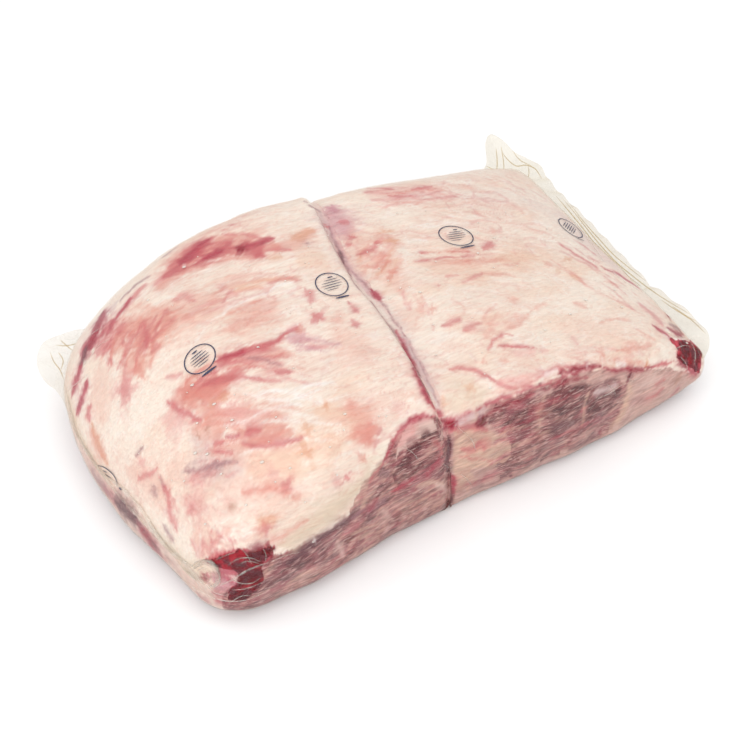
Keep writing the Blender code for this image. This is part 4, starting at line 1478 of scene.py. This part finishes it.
def film_over(piece):
    """A butt's share of the film, as points and normals: the sheet over its top, and its wall rings.

    The rings run from the parting's far end, round the butt's outer end, to its near end.
    """
    upper, rings, corner = skin_grids(piece, FILM_GAP)
    last = upper.shape[1] - 1
    rows = np.linspace(0, parting_station(upper, BRIDGE_START), FILM_SPANS[0] + 1)
    columns = np.linspace(0, last, FILM_SPANS[1] + 1)
    around = np.concatenate([corner - last - rows[::-1], corner - columns[-2:0:-1], corner + rows])
    return blended(blended(upper, rows, 0), columns, 1), blended(rings, around, 1)


def over_parting(start, stop):
    """The film's own bridge between two lines on either side of the parting."""
    return bridge(start, stop, BRIDGE_ROWS, BRIDGE_DIP)


def film_skin():
    """The whole bag: both sheets joined over the parting, wall rings round them, and a flat base."""
    left_sheet, left_rings = film_over(butts["left"])
    right_sheet, right_rings = film_over(butts["right"])
    sheet = np.concatenate([left_sheet[..., :3], over_parting(left_sheet[-1], right_sheet[-1]),
                            right_sheet[::-1, :, :3]])
    near = over_parting(left_rings[:, -1], right_rings[:, -1]).transpose(1, 0, 2)
    far = over_parting(right_rings[:, 0], left_rings[:, 0]).transpose(1, 0, 2)
    walls = np.concatenate([left_rings[..., :3], near, right_rings[:, ::-1, :3], far], axis=1)
    centre = walls[-1].mean(axis=0)
    base = centre + (walls[-1] - centre) * np.array(FILM_BASE_RINGS)[:, None, None]
    points = np.concatenate([sheet.reshape(-1, 3), walls.reshape(-1, 3), base.reshape(-1, 3), [centre]])
    number = np.arange(sheet.shape[0] * sheet.shape[1]).reshape(sheet.shape[:2])
    turn = len(left_sheet) - 1
    rim = np.concatenate([number[turn::-1, -1], number[0, -2:0:-1], number[:, 0], number[-1, 1:-1],
                          number[:turn:-1, -1]])
    rings = rings_below(rim, number.size, len(walls) + len(base))
    faces = np.concatenate([grid_faces(number), ring_faces(rings)])
    cap = closing_faces(rings[-1], len(points) - 1)
    normals = point_normals(points, faces)
    off_base = np.clip(points[:, 2] / FILM_CALM_HEIGHT - 1, 0, 1)
    lift = FILM_WAVE_HEIGHT * clouds(points, FILM_WAVE_SIZE, 41) * off_base
    points = points + normals * lift[:, None]
    points[:, 2] = np.maximum(points[:, 2], FILM_LEAST_HEIGHT)
    return points, faces, cap


MILK_AND_GLINT_WHITE = (0.88, 0.85, 0.80, 1)
FILM_CRINKLE = (55.0, 6.0, 1.6)
SHEEN_FACE_ON, SHEEN_EDGE_ON = 0.022, 0.16


def clear_film(name, face_on, edge_on, milk_and_glint, roughness):
    """Clear film: see-through, tinted more where it is seen edge-on, with a glossy, part-milky face.

    The tint and the sheen grow with powers of how far the face turns from the viewer. The milky
    share is a white finish; on pleats and bubbles it is a painted glint.
    """
    material, tree, shader = shader_of(name)
    tree.nodes.remove(shader)
    crinkle = noise(tree, *FILM_CRINKLE)
    bump = add_node(tree, "Bump", "Normal", {"Height": crinkle, "Strength": 0.35, "Distance": 0.0006})
    facing = add_node(tree, "LayerWeight", "Facing", {"Blend": 0.5, "Normal": bump})
    tint = mixed(tree, figured(tree, "POWER", facing, 3.0), (*face_on, 1), (*edge_on, 1))
    clear = add_node(tree, "BsdfTransparent", "BSDF", {"Color": tint})
    white = layered(tree, 0.5, add_node(tree, "BsdfDiffuse", "BSDF", {"Color": MILK_AND_GLINT_WHITE}),
                    add_node(tree, "BsdfTranslucent", "BSDF", {"Color": MILK_AND_GLINT_WHITE}))
    milky = layered(tree, ranged(tree, crinkle, 0.45, 0.80, *milk_and_glint), clear, white)
    sheen = figured(tree, "MULTIPLY_ADD", figured(tree, "POWER", facing, 5.0), SHEEN_EDGE_ON, SHEEN_FACE_ON)
    gloss = add_node(tree, "BsdfAnisotropic", "BSDF", {"Color": (1, 1, 1, 1), "Roughness": roughness,
                                                      "Normal": bump})
    tree.links.new(layered(tree, sheen, milky, gloss), tree.nodes["Material Output"].inputs["Surface"])
    return material


film_points, film_faces, film_cap = film_skin()
film = new_mesh("bag_film", film_points, film_faces, film_cap)
film.data.materials.append(clear_film("shrink_film", (0.99, 0.985, 0.98), (0.95, 0.93, 0.90),
                                      (0.0, 0.025), 0.12))
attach(film, "root")
film_tree = BVHTree.FromPolygons(film_points.tolist(), film_faces.tolist())


# ---------------------------------------------------------------------------------------------
# Sealed bands. At each end the bag leaves the meat as two layers of clear film, pressed
# together and trimmed, with folded ears at the corners.

SEAL_THICKNESS = 0.0005
SEAL_RUFFLE = 0.0012
SEAL_FULL_RUFFLE_WIDTH = 0.010
SEAL_RUFFLE_LENGTH = 0.021
SEAL_RUFFLE_SKEW = 2.0
SEAL_LEAST_CURL = 0.001
SEAL_TINTS = {"left": ((0.955, 0.945, 0.920), (0.92, 0.90, 0.85), (0.03, 0.34)),
              "right": ((0.925, 0.905, 0.862), (0.80, 0.73, 0.60), (0.0, 0.20))}
SEAL_START = {"left": 0.066, "right": 0.015}
SEAL_SMOOTHING = 0.05
SEAL_INSET = {"left": ((0, 0.013), (0.5, 0.013), (0.9, 0.011), (1, 0.0)),
              "right": ((0, 0.022), (0.08, 0.018), (0.3, 0.0), (1, 0.0))}
SEAL_FAR_RUN = {"left": 0.006, "right": 0.20}
SEAL_SPANS = {"left": (620, 30), "right": (720, 40)}
# Distance from the near side, width, curl in radians, lean towards the near side
SEAL_BANDS = {
    "left": ((0.000, 0.006, 2.4, 0.0), (0.009, 0.012, 2.6, 0.2), (0.020, 0.005, 1.0, 0.0),
             (0.040, 0.0035, 0.3, 0.0), (0.149, 0.0035, 0.2, 0.0), (0.187, 0.006, -0.1, 0.0),
             (0.209, 0.018, 0.1, 0.1), (0.223, 0.023, 0.2, 0.1), (0.239, 0.019, 0.3, 0.0),
             (0.255, 0.006, 0.2, 0.0), (0.289, 0.003, 0.2, 0.0)),
    "right": ((0.000, 0.003, 0.0, 0.0), (0.012, 0.010, 0.1, -0.6), (0.026, 0.014, 0.1, -0.5),
              (0.050, 0.012, 0.1, 0.0), (0.080, 0.008, 0.1, 0.0), (0.160, 0.008, 0.2, 0.0),
              (0.210, 0.011, 0.3, 0.0), (0.228, 0.015, 0.5, 0.0), (0.240, 0.018, 0.6, 0.0),
              (0.2445, 0.022, 0.7, 0.0), (0.2480, 0.034, 0.7, 0.0), (0.2505, 0.039, 0.7, 0.0),
              (0.2530, 0.034, 0.7, 0.0), (0.2565, 0.020, 0.6, 0.0), (0.262, 0.013, 0.5, 0.0),
              (0.275, 0.009, 0.3, 0.0), (0.310, 0.002, 0.1, 0.0)),
}


def even_spacing(line, count):
    """The same line with its points evenly spaced, and each point's distance along it."""
    steps = np.linalg.norm(np.diff(line, axis=0), axis=1)
    distance = np.concatenate([[0.0], np.cumsum(steps)])
    even = np.linspace(0, distance[-1], count)
    return np.stack([np.interp(even, distance, line[:, axis]) for axis in range(3)], axis=1), even


def seal_path(side, count):
    """The line where the bag leaves the meat: round one end and a little way along the far side."""
    fine = crowded_ends(400)
    v = SEAL_START[side] + (1 - SEAL_START[side]) * fine
    line = upper_skin(side, along(SEAL_INSET[side], v), v)
    far_run = upper_skin(side, SEAL_FAR_RUN[side] * fine, np.ones_like(fine))
    return even_spacing(np.concatenate([line[:-1], far_run]), count)


def outward_in_plan(line, reach):
    """Level directions square to the line, pointing off the meat and smoothed along it."""
    tangent = np.gradient(line[:, :2], axis=0)
    across = np.stack([tangent[:, 1], -tangent[:, 0]], axis=1)
    off_meat = np.sum(across * (line[:, :2] - line[:, :2].mean(axis=0)))
    window = np.hanning(2 * reach + 3)[1:-1]
    padded = np.pad(across * np.sign(off_meat), ((reach, reach), (0, 0)), mode="edge")
    smooth = np.stack([np.convolve(padded[:, axis], window, mode="valid") for axis in range(2)], axis=1)
    return unit(smooth)


def seal_surface(side, count, rows):
    """The band's middle surface: across its width it follows an arc that turns through its curl."""
    line, distance = seal_path(side, count)
    outward = outward_in_plan(line, round(SEAL_SMOOTHING * count))
    columns = list(zip(*SEAL_BANDS[side]))
    width, curl, lean = (along(list(zip(columns[0], column)), distance)[:, None] for column in columns[1:])
    curl = curl + SEAL_LEAST_CURL
    out = np.linspace(0, 1, rows + 1)[None, :]
    reach = TOUCH_GAP + 0.5 * SEAL_THICKNESS + width * np.sin(curl * out) / curl
    ruffle = SEAL_RUFFLE * np.minimum(width / SEAL_FULL_RUFFLE_WIDTH, 1) * out
    wave = np.sin(2 * math.pi * distance[:, None] / SEAL_RUFFLE_LENGTH + SEAL_RUFFLE_SKEW * out)
    rise = width * (1 - np.cos(curl * out)) / curl + ruffle * wave
    lengthwise = np.stack([-outward[:, 1], outward[:, 0]], axis=1)
    plan = line[:, None, :2] + outward[:, None, :] * reach[..., None]
    plan = plan + lengthwise[:, None, :] * (lean * width * out)[..., None]
    return np.concatenate([plan, (line[:, None, 2] + rise)[..., None]], axis=2) - PACK_CENTRE


def drawn_to_bag(surface):
    """The band with its root laid on the bag's skin, and the rest following less and less."""
    root = surface[:, 0]
    met = np.array([film_tree.find_nearest(place.tolist())[0] for place in root])
    follow = (1 - np.linspace(0, 1, surface.shape[1])) ** 2
    return surface + (met - root)[:, None, :] * follow[None, :, None]


seal_points, seal_faces = [], []
for side in ("left", "right"):
    count, rows = SEAL_SPANS[side]
    surface = drawn_to_bag(seal_surface(side, count, rows))
    number = np.arange(count * (rows + 1)).reshape(count, rows + 1)
    seal_faces.append(grid_faces(number) + sum(len(points) for points in seal_points))
    seal_points.append(surface.reshape(-1, 3))
    seal = new_mesh(f"bag_seal_{side}", surface.reshape(-1, 3), grid_faces(number))
    thicken(seal, "two_layers", SEAL_THICKNESS, 0.0)
    seal.data.materials.append(clear_film(f"sealed_film_{side}", *SEAL_TINTS[side], 0.20))
    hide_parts(f"bag_end_seal_{side}")
    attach(seal, "root")


# ---------------------------------------------------------------------------------------------
# Folds. Where the film was drawn in faster than it could shrink, it stands up in fine pleats
# that catch the light. Each is a low, tapered ridge that lies on the bag. Their film is partly
# milky white: a painted highlight, on top of the light their ridges catch.

# Width in pixels and height in metres, then the route in pixels
PLEATS = """
4.2 .0014: 66,388 69,402 76,430 90,456 101,471 126,491 138,504
4.6 .0016: 132,497 138,504 150,522 160,538 171,550 182,560 194,567
5.5 .0022: 193,569 198,565 204,562 211,564 216,570 218,577 216,584 210,587
1.8 .0028: 191,567 197,562 204,560 211,561 217,567 220,575 219,583 213,588
1.4 .0016: 197,571 203,568 209,571 211,578 207,583
1.8 .0009: 218,586 232,580 241,574 250,569 270,562
1.2 .0005: 199,590 212,597 228,601 246,600 262,594
1 .0004: 206,584 214,592 228,596
1 .0004: 228,577 240,583 252,583 262,577
1 .0004: 232,590 243,589 254,586 266,580
1 .0004: 228,604 242,596 252,595
1.2 .0005: 228,565 238,559 250,558 262,562
1 .0004: 236,568 244,562 254,562 264,566
1 .0004: 214,561 224,556 236,552
.9 .0003: 240,547 247,555 252,565
1 .0004: 262,546 266,556 264,566
1 .0004: 176,572 186,582 200,592
.9 .0003: 180,566 192,576 202,588
1 .0004: 270,562 284,556 300,552
1 .0004: 624,374 632,381 640,371
1.4 .0006: 632,381 620,386 608,394 596,399
.9 .0003: 606,384 613,389 616,396
1.5 .0006: 666,332 674,336 686,338
1 .0004: 674,350 682,346 692,346
1 .0004: 690,340 695,352 694,366
1 .0004: 680,356 686,364 688,374
.9 .0003: 650,374 664,370 676,372
1 .0004: 453,424 462,431 472,440 476,452
.9 .0003: 440,462 450,468 462,470
.9 .0003: 455,470 466,478 474,488
.9 .0003: 402,446 412,452 420,462
.9 .0003: 66,392 76,384 90,372
.9 .0003: 84,344 92,334 104,326
.9 .0003: 88,356 98,346 112,338
.9 .0003: 80,372 86,362 96,350
.9 .0003: 560,208 578,226 592,244 604,262
.9 .0003: 610,270 628,284 646,294
"""
RIDGE_SIDES = 8
RIDGE_ROOT = 0.00015
RIDGE_TIP = 0.04
RIDGE_TAPER = 0.6


def full_turn(count):
    """The angles of a full turn in equal steps."""
    return np.linspace(0, 2 * np.pi, count + 1)[:-1]


def raised_line(pixels, width, height, tree, closed=False):
    """A low ridge on a surface along a run of pixels: its points and its faces, round and to the ends.

    Its section is half an ellipse over the surface and a shallow one sunk into it. An open
    ridge narrows to both ends.
    """
    line, normal = land(pixels, tree)
    tangent = np.roll(line, -1, axis=0) - np.roll(line, 1, axis=0) if closed else np.gradient(line, axis=0)
    across = np.cross(normal, unit(tangent))
    share = np.linspace(0, 1, len(line))[:, None, None]
    taper = np.clip(4 * share * (1 - share), 0, 1) ** RIDGE_TAPER
    size = 1.0 if closed else RIDGE_TIP + (1 - RIDGE_TIP) * taper
    angle = full_turn(RIDGE_SIDES)
    rise = np.where(np.sin(angle) > 0, height, RIDGE_ROOT) * np.sin(angle)
    points = (line[:, None, :] + size * (across[:, None, :] * (np.cos(angle) * width / 2)[None, :, None]
                                         + normal[:, None, :] * rise[None, :, None]))
    number = np.arange(points.shape[0] * RIDGE_SIDES).reshape(-1, RIDGE_SIDES)
    if closed:
        number = np.concatenate([number, number[:1]])
    faces = ring_faces(number)
    ends = np.zeros((0, RIDGE_SIDES), dtype=int) if closed else np.stack([number[0], number[-1, ::-1]])
    return points.reshape(-1, 3), faces, ends


def joined(parts):
    """Several pieces' points and faces as one set of arrays, their faces renumbered."""
    starts = np.cumsum([0] + [len(points) for points, _, _ in parts[:-1]])
    return (np.concatenate([points for points, _, _ in parts]),
            np.concatenate([faces + start for (_, faces, _), start in zip(parts, starts)]),
            np.concatenate([ends + start for (_, _, ends), start in zip(parts, starts)]))


pleats = joined([raised_line(smooth_route(route, 1.0), width * PIXEL, height, film_tree)
                 for width, height, route in traced(PLEATS)])
folds = new_mesh("bag_pleats", *pleats)
# The milky share, 12 to 50 percent, is a painted highlight along each ridge.
folds.data.materials.append(clear_film("pleated_film_painted_glint", (0.97, 0.95, 0.93), (0.93, 0.90, 0.86),
                                       (0.12, 0.50), 0.20))
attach(folds, "root")


# ---------------------------------------------------------------------------------------------
# Creases of the seals. Where the two sealed layers were folded and pressed, the film has turned
# tan along the fold. Each is a low ridge on the band.

# Width, then route in pixels
SEAL_CREASES = """
1.3: 562,198 574,212 588,230 602,247 616,262 634,277 654,292 676,306 704,322
1.2: 556,196 568,210 582,227 596,245 608,259 624,273 642,287
1: 570,204 584,222 600,240 614,255 632,270 652,286
1: 660,299 676,310 694,322 706,334
1: 672,306 690,318 708,326
1.3: 496,148 497,158 497,168 496,178
1.1: 501,146 503,158 504,170 503,180
1.4: 502,152 508,160 517,166 525,165 534,168 542,179
1: 486,166 494,170 500,176
1: 528,166 529,172 528,179
1: 512,150 520,160 532,166
1: 60,340 68,347 76,353 84,356
1: 55,345 66,346 78,343 88,338
1: 50,352 54,362 60,370 64,380
1: 58,352 63,360 61,370
"""
CREASE_HEIGHT = 0.0006
seal_tree = BVHTree.FromPolygons(np.concatenate(seal_points).tolist(), np.concatenate(seal_faces).tolist())
creases = new_mesh("seal_creases", *joined([raised_line(smooth_route(route, 1.0), width * PIXEL,
                                                        CREASE_HEIGHT, seal_tree)
                                            for width, route in traced(SEAL_CREASES)]))
creases.data.materials.append(clear_film("creased_film", (0.86, 0.79, 0.66), (0.76, 0.67, 0.50),
                                         (0.0, 0.1), 0.25))
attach(creases, "root")


# ---------------------------------------------------------------------------------------------
# Air bubbles. A little air stayed between film and meat when the bag shrank. Each bubble is a
# low dome that presses the film up, drawn out along one side. Its film is nearly all milky white,
# a painted glint.

# Those seen in the photograph, and the field over which smaller ones are scattered, in pixels
BUBBLE_PLACES = """
192,385 197,423 195,453 207,454 276,417 258,347 345,414 337,475 305,502 184,481 205,524 570,314 687,343
494,238 478,253 490,388 615,290 622,307 184,267 313,542 246,505 221,474 262,462 148,300 232,420 214,404
330,447 290,468 420,292 436,355 545,330 586,300
"""
BUBBLE_FIELD = "110,300 210,240 310,215 520,190 640,320 430,400 380,430 280,530 200,540 90,420"
BUBBLE_TRIES = 400
BUBBLE_SCATTER = 70
BUBBLE_SPAN = ((90, 210), (660, 560))
BUBBLE_SIZE = (0.0009, 0.0019)
BUBBLE_HEIGHT = 0.0005
BUBBLE_STRETCH = 1.5
SCATTERED_SHARE = 0.55
DOME = ((1.0, -0.15), (0.85, 0.45), (0.45, 0.9), (0.02, 1.0))
DOME_SIDES = 12

chance = np.random.default_rng(71)
scatter = chance.uniform(*BUBBLE_SPAN, (BUBBLE_TRIES, 2))
scatter = scatter[within(scatter, pixel_pairs(BUBBLE_FIELD))][:BUBBLE_SCATTER]
seen_bubbles = np.array(pixel_pairs(BUBBLE_PLACES))
bubble_centres, bubble_normals = land(np.concatenate([seen_bubbles, scatter]), film_tree)
sizes = chance.uniform(*BUBBLE_SIZE, len(bubble_centres)) * 0.5
sizes[len(seen_bubbles):] *= SCATTERED_SHARE
beside = unit(np.cross(bubble_normals, (0.3, 1.0, 0.1)))
round_it = (np.cos(full_turn(DOME_SIDES))[None, :, None] * beside[:, None] * BUBBLE_STRETCH
            + np.sin(full_turn(DOME_SIDES))[None, :, None] * np.cross(bubble_normals, beside)[:, None])
dome = np.stack([bubble_centres[:, None] + sizes[:, None, None] * radius * round_it
                 + bubble_normals[:, None] * BUBBLE_HEIGHT * height for radius, height in DOME], axis=1)
number = np.arange(dome.shape[0] * len(DOME) * DOME_SIDES).reshape(-1, len(DOME), DOME_SIDES)
rings = np.concatenate([number, number[:, :, :1]], axis=2)
quads = np.stack([rings[:, :-1, :-1], rings[:, :-1, 1:], rings[:, 1:, 1:], rings[:, 1:, :-1]], axis=-1)
bubbles = new_mesh("air_bubbles", dome.reshape(-1, 3), quads.reshape(-1, 4),
                   number[:, -1], number[:, 0, ::-1])
# Milky white over most of each dome: a painted glint.
bubbles.data.materials.append(clear_film("bubble_film_painted_glint", (0.99, 0.985, 0.98), (0.97, 0.96, 0.95),
                                         (0.80, 1.0), 0.15))
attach(bubbles, "root")


# ---------------------------------------------------------------------------------------------
# Stamped marks. Plain oval rings with bars inside and one bar below, printed on the bag in dark
# blue ink. One of them folds away over the left seal.

INK_HEIGHT = 0.00008
INK_BLUE = (0.030, 0.032, 0.085, 1)
RING_WIDTH = 1.15
RING_POINTS = 72
BAR_STEP = 0.8
# Centre, half axes, tilts in degrees (of the long axis, of the bars, of the row they stand in),
# the bars as (offset along the row, length, width), and the bar below
OVAL_MARKS = (
    ((199.8, 358.9), (17.4, 12.6), (-42, -39, 51),
     ((-8.6, 7, 1.8), (-5.3, 16, 1.0), (-2.7, 21, 1.0), (0.0, 23, 1.0), (2.7, 21, 1.0), (5.4, 14, 0.8)),
     ((201.6, 376.8), (216.6, 365.6), 2.4)),
    ((331.8, 284.3), (16.5, 11.0), (12, -15, 75),
     ((-7.6, 6, 1.6), (-5.0, 14, 0.9), (-2.5, 20, 0.9), (0.0, 22, 0.9), (2.5, 19, 0.9), (4.9, 13, 0.7)),
     ((335.6, 298.3), (349.6, 295.0), 2.2)),
    ((456.0, 235.6), (17.5, 9.0), (13, -8, 82),
     ((-6.2, 5, 1.4), (-4.0, 14, 0.8), (-2.0, 19, 0.8), (0.1, 21, 0.8), (2.2, 19, 0.8), (4.3, 12, 0.6)),
     ((460.2, 247.9), (475.0, 244.9), 2.0)),
    ((570.6, 228.0), (14.4, 4.6), (37, -58, 37),
     ((-7.4, 5, 1.0), (-4.9, 6, 1.0), (-2.4, 7, 1.0), (0.1, 7, 1.0), (2.6, 7, 0.9), (5.0, 6, 0.8)),
     ((575.4, 237.4), (584.6, 240.8), 1.4)),
)
FOLDED_MARK_ARC = "97,465.3 103.1,467 109.6,471.3 114.6,477 116.7,482 117,487.4"
FOLDED_MARK_BARS = (((102.6, 470.4), (107.0, 472.6), 1.0), ((104.6, 473.8), (111.0, 478.6), 0.9),
                    ((118.6, 487.4), (121.8, 490.0), 2.0))


def inked(run, width, closed=False):
    """A line of ink on the bag along a run of pixels."""
    return raised_line(run, width * PIXEL, INK_HEIGHT, film_tree, closed)


def inked_bar(start, stop, width):
    """A straight bar of ink from one pixel to another."""
    start, stop = np.array(start, dtype=float), np.array(stop, dtype=float)
    count = max(4, int(np.linalg.norm(stop - start) / BAR_STEP))
    return inked(start + (stop - start) * np.linspace(0, 1, count)[:, None], width)


def direction(degrees):
    """The unit step in the photograph at an angle that falls to the right."""
    return np.array((math.cos(math.radians(degrees)), math.sin(math.radians(degrees))))


def oval_mark(centre, half_axes, tilts, bars, lower_bar):
    """One stamped oval: its ring, the bars inside it and the bar below it."""
    tilt, bar_tilt, row_tilt = tilts
    turn = full_turn(RING_POINTS)
    oval = (np.array(centre) + np.outer(half_axes[0] * np.cos(turn), direction(tilt))
            + np.outer(half_axes[1] * np.sin(turn), direction(tilt + 90)))
    parts = [inked(oval, RING_WIDTH, closed=True)]
    for offset, length, width in bars:
        middle = np.array(centre) + offset * direction(row_tilt)
        reach = 0.5 * length * direction(bar_tilt)
        parts.append(inked_bar(middle - reach, middle + reach, width))
    return joined(parts + [inked_bar(*lower_bar)])


marks = [oval_mark(*mark) for mark in OVAL_MARKS]
marks.append(joined([inked(smooth_route(pixel_pairs(FOLDED_MARK_ARC), 1.0), RING_WIDTH)]
                    + [inked_bar(*bar) for bar in FOLDED_MARK_BARS]))
for index, mark in enumerate(marks):
    stamp = new_mesh(f"stamped_mark_{index + 1}", *mark)
    ink, tree, shader = shader_of(f"blue_ink_{index + 1}")
    shader.inputs["Base Color"].default_value = INK_BLUE
    shader.inputs["Roughness"].default_value = 0.45
    shader.inputs["Alpha"].default_value = 0.86
    stamp.data.materials.append(ink)
    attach(stamp, "root")


# ---------------------------------------------------------------------------------------------
# Studio. A plain white floor, far wider than the pack, under the even light of a white sky and
# one broad, soft lamp over its near left side.

FLOOR_SIDE = 24.0
FLOOR_WHITE = (0.87, 0.87, 0.87, 1)
SOFTBOX_SIDE = 2.6
SOFTBOX_POWER = 20.0
SOFTBOX_PLACE = (-0.60, -0.65, 1.30)

floor_grid = np.array([(-1, -1), (1, -1), (1, 1), (-1, 1)]) * FLOOR_SIDE / 2
floor = new_mesh("floor", np.column_stack([floor_grid, np.zeros(4)]), np.array([[0, 1, 2, 3]]))
plain, tree, shader = shader_of("floor_white")
shader.inputs["Base Color"].default_value = FLOOR_WHITE
shader.inputs["Roughness"].default_value = 0.8
floor.data.materials.append(plain)

world = bpy.data.worlds.new("studio_air")
world.use_nodes = True
world.node_tree.nodes["Background"].inputs["Color"].default_value = (1, 1, 1, 1)
world.node_tree.nodes["Background"].inputs["Strength"].default_value = 1.0
bpy.context.scene.world = world

key_data = bpy.data.lights.new("softbox", "AREA")
key_data.shape = "RECTANGLE"
key_data.size = SOFTBOX_SIDE
key_data.size_y = SOFTBOX_SIDE
key_data.energy = SOFTBOX_POWER
key = bpy.data.objects.new("softbox", key_data)
key.location = SOFTBOX_PLACE
key.rotation_euler = Vector(key.location).to_track_quat("Z", "Y").to_euler()
bpy.context.scene.collection.objects.link(key)

bpy.context.scene.view_settings.view_transform = "Standard"
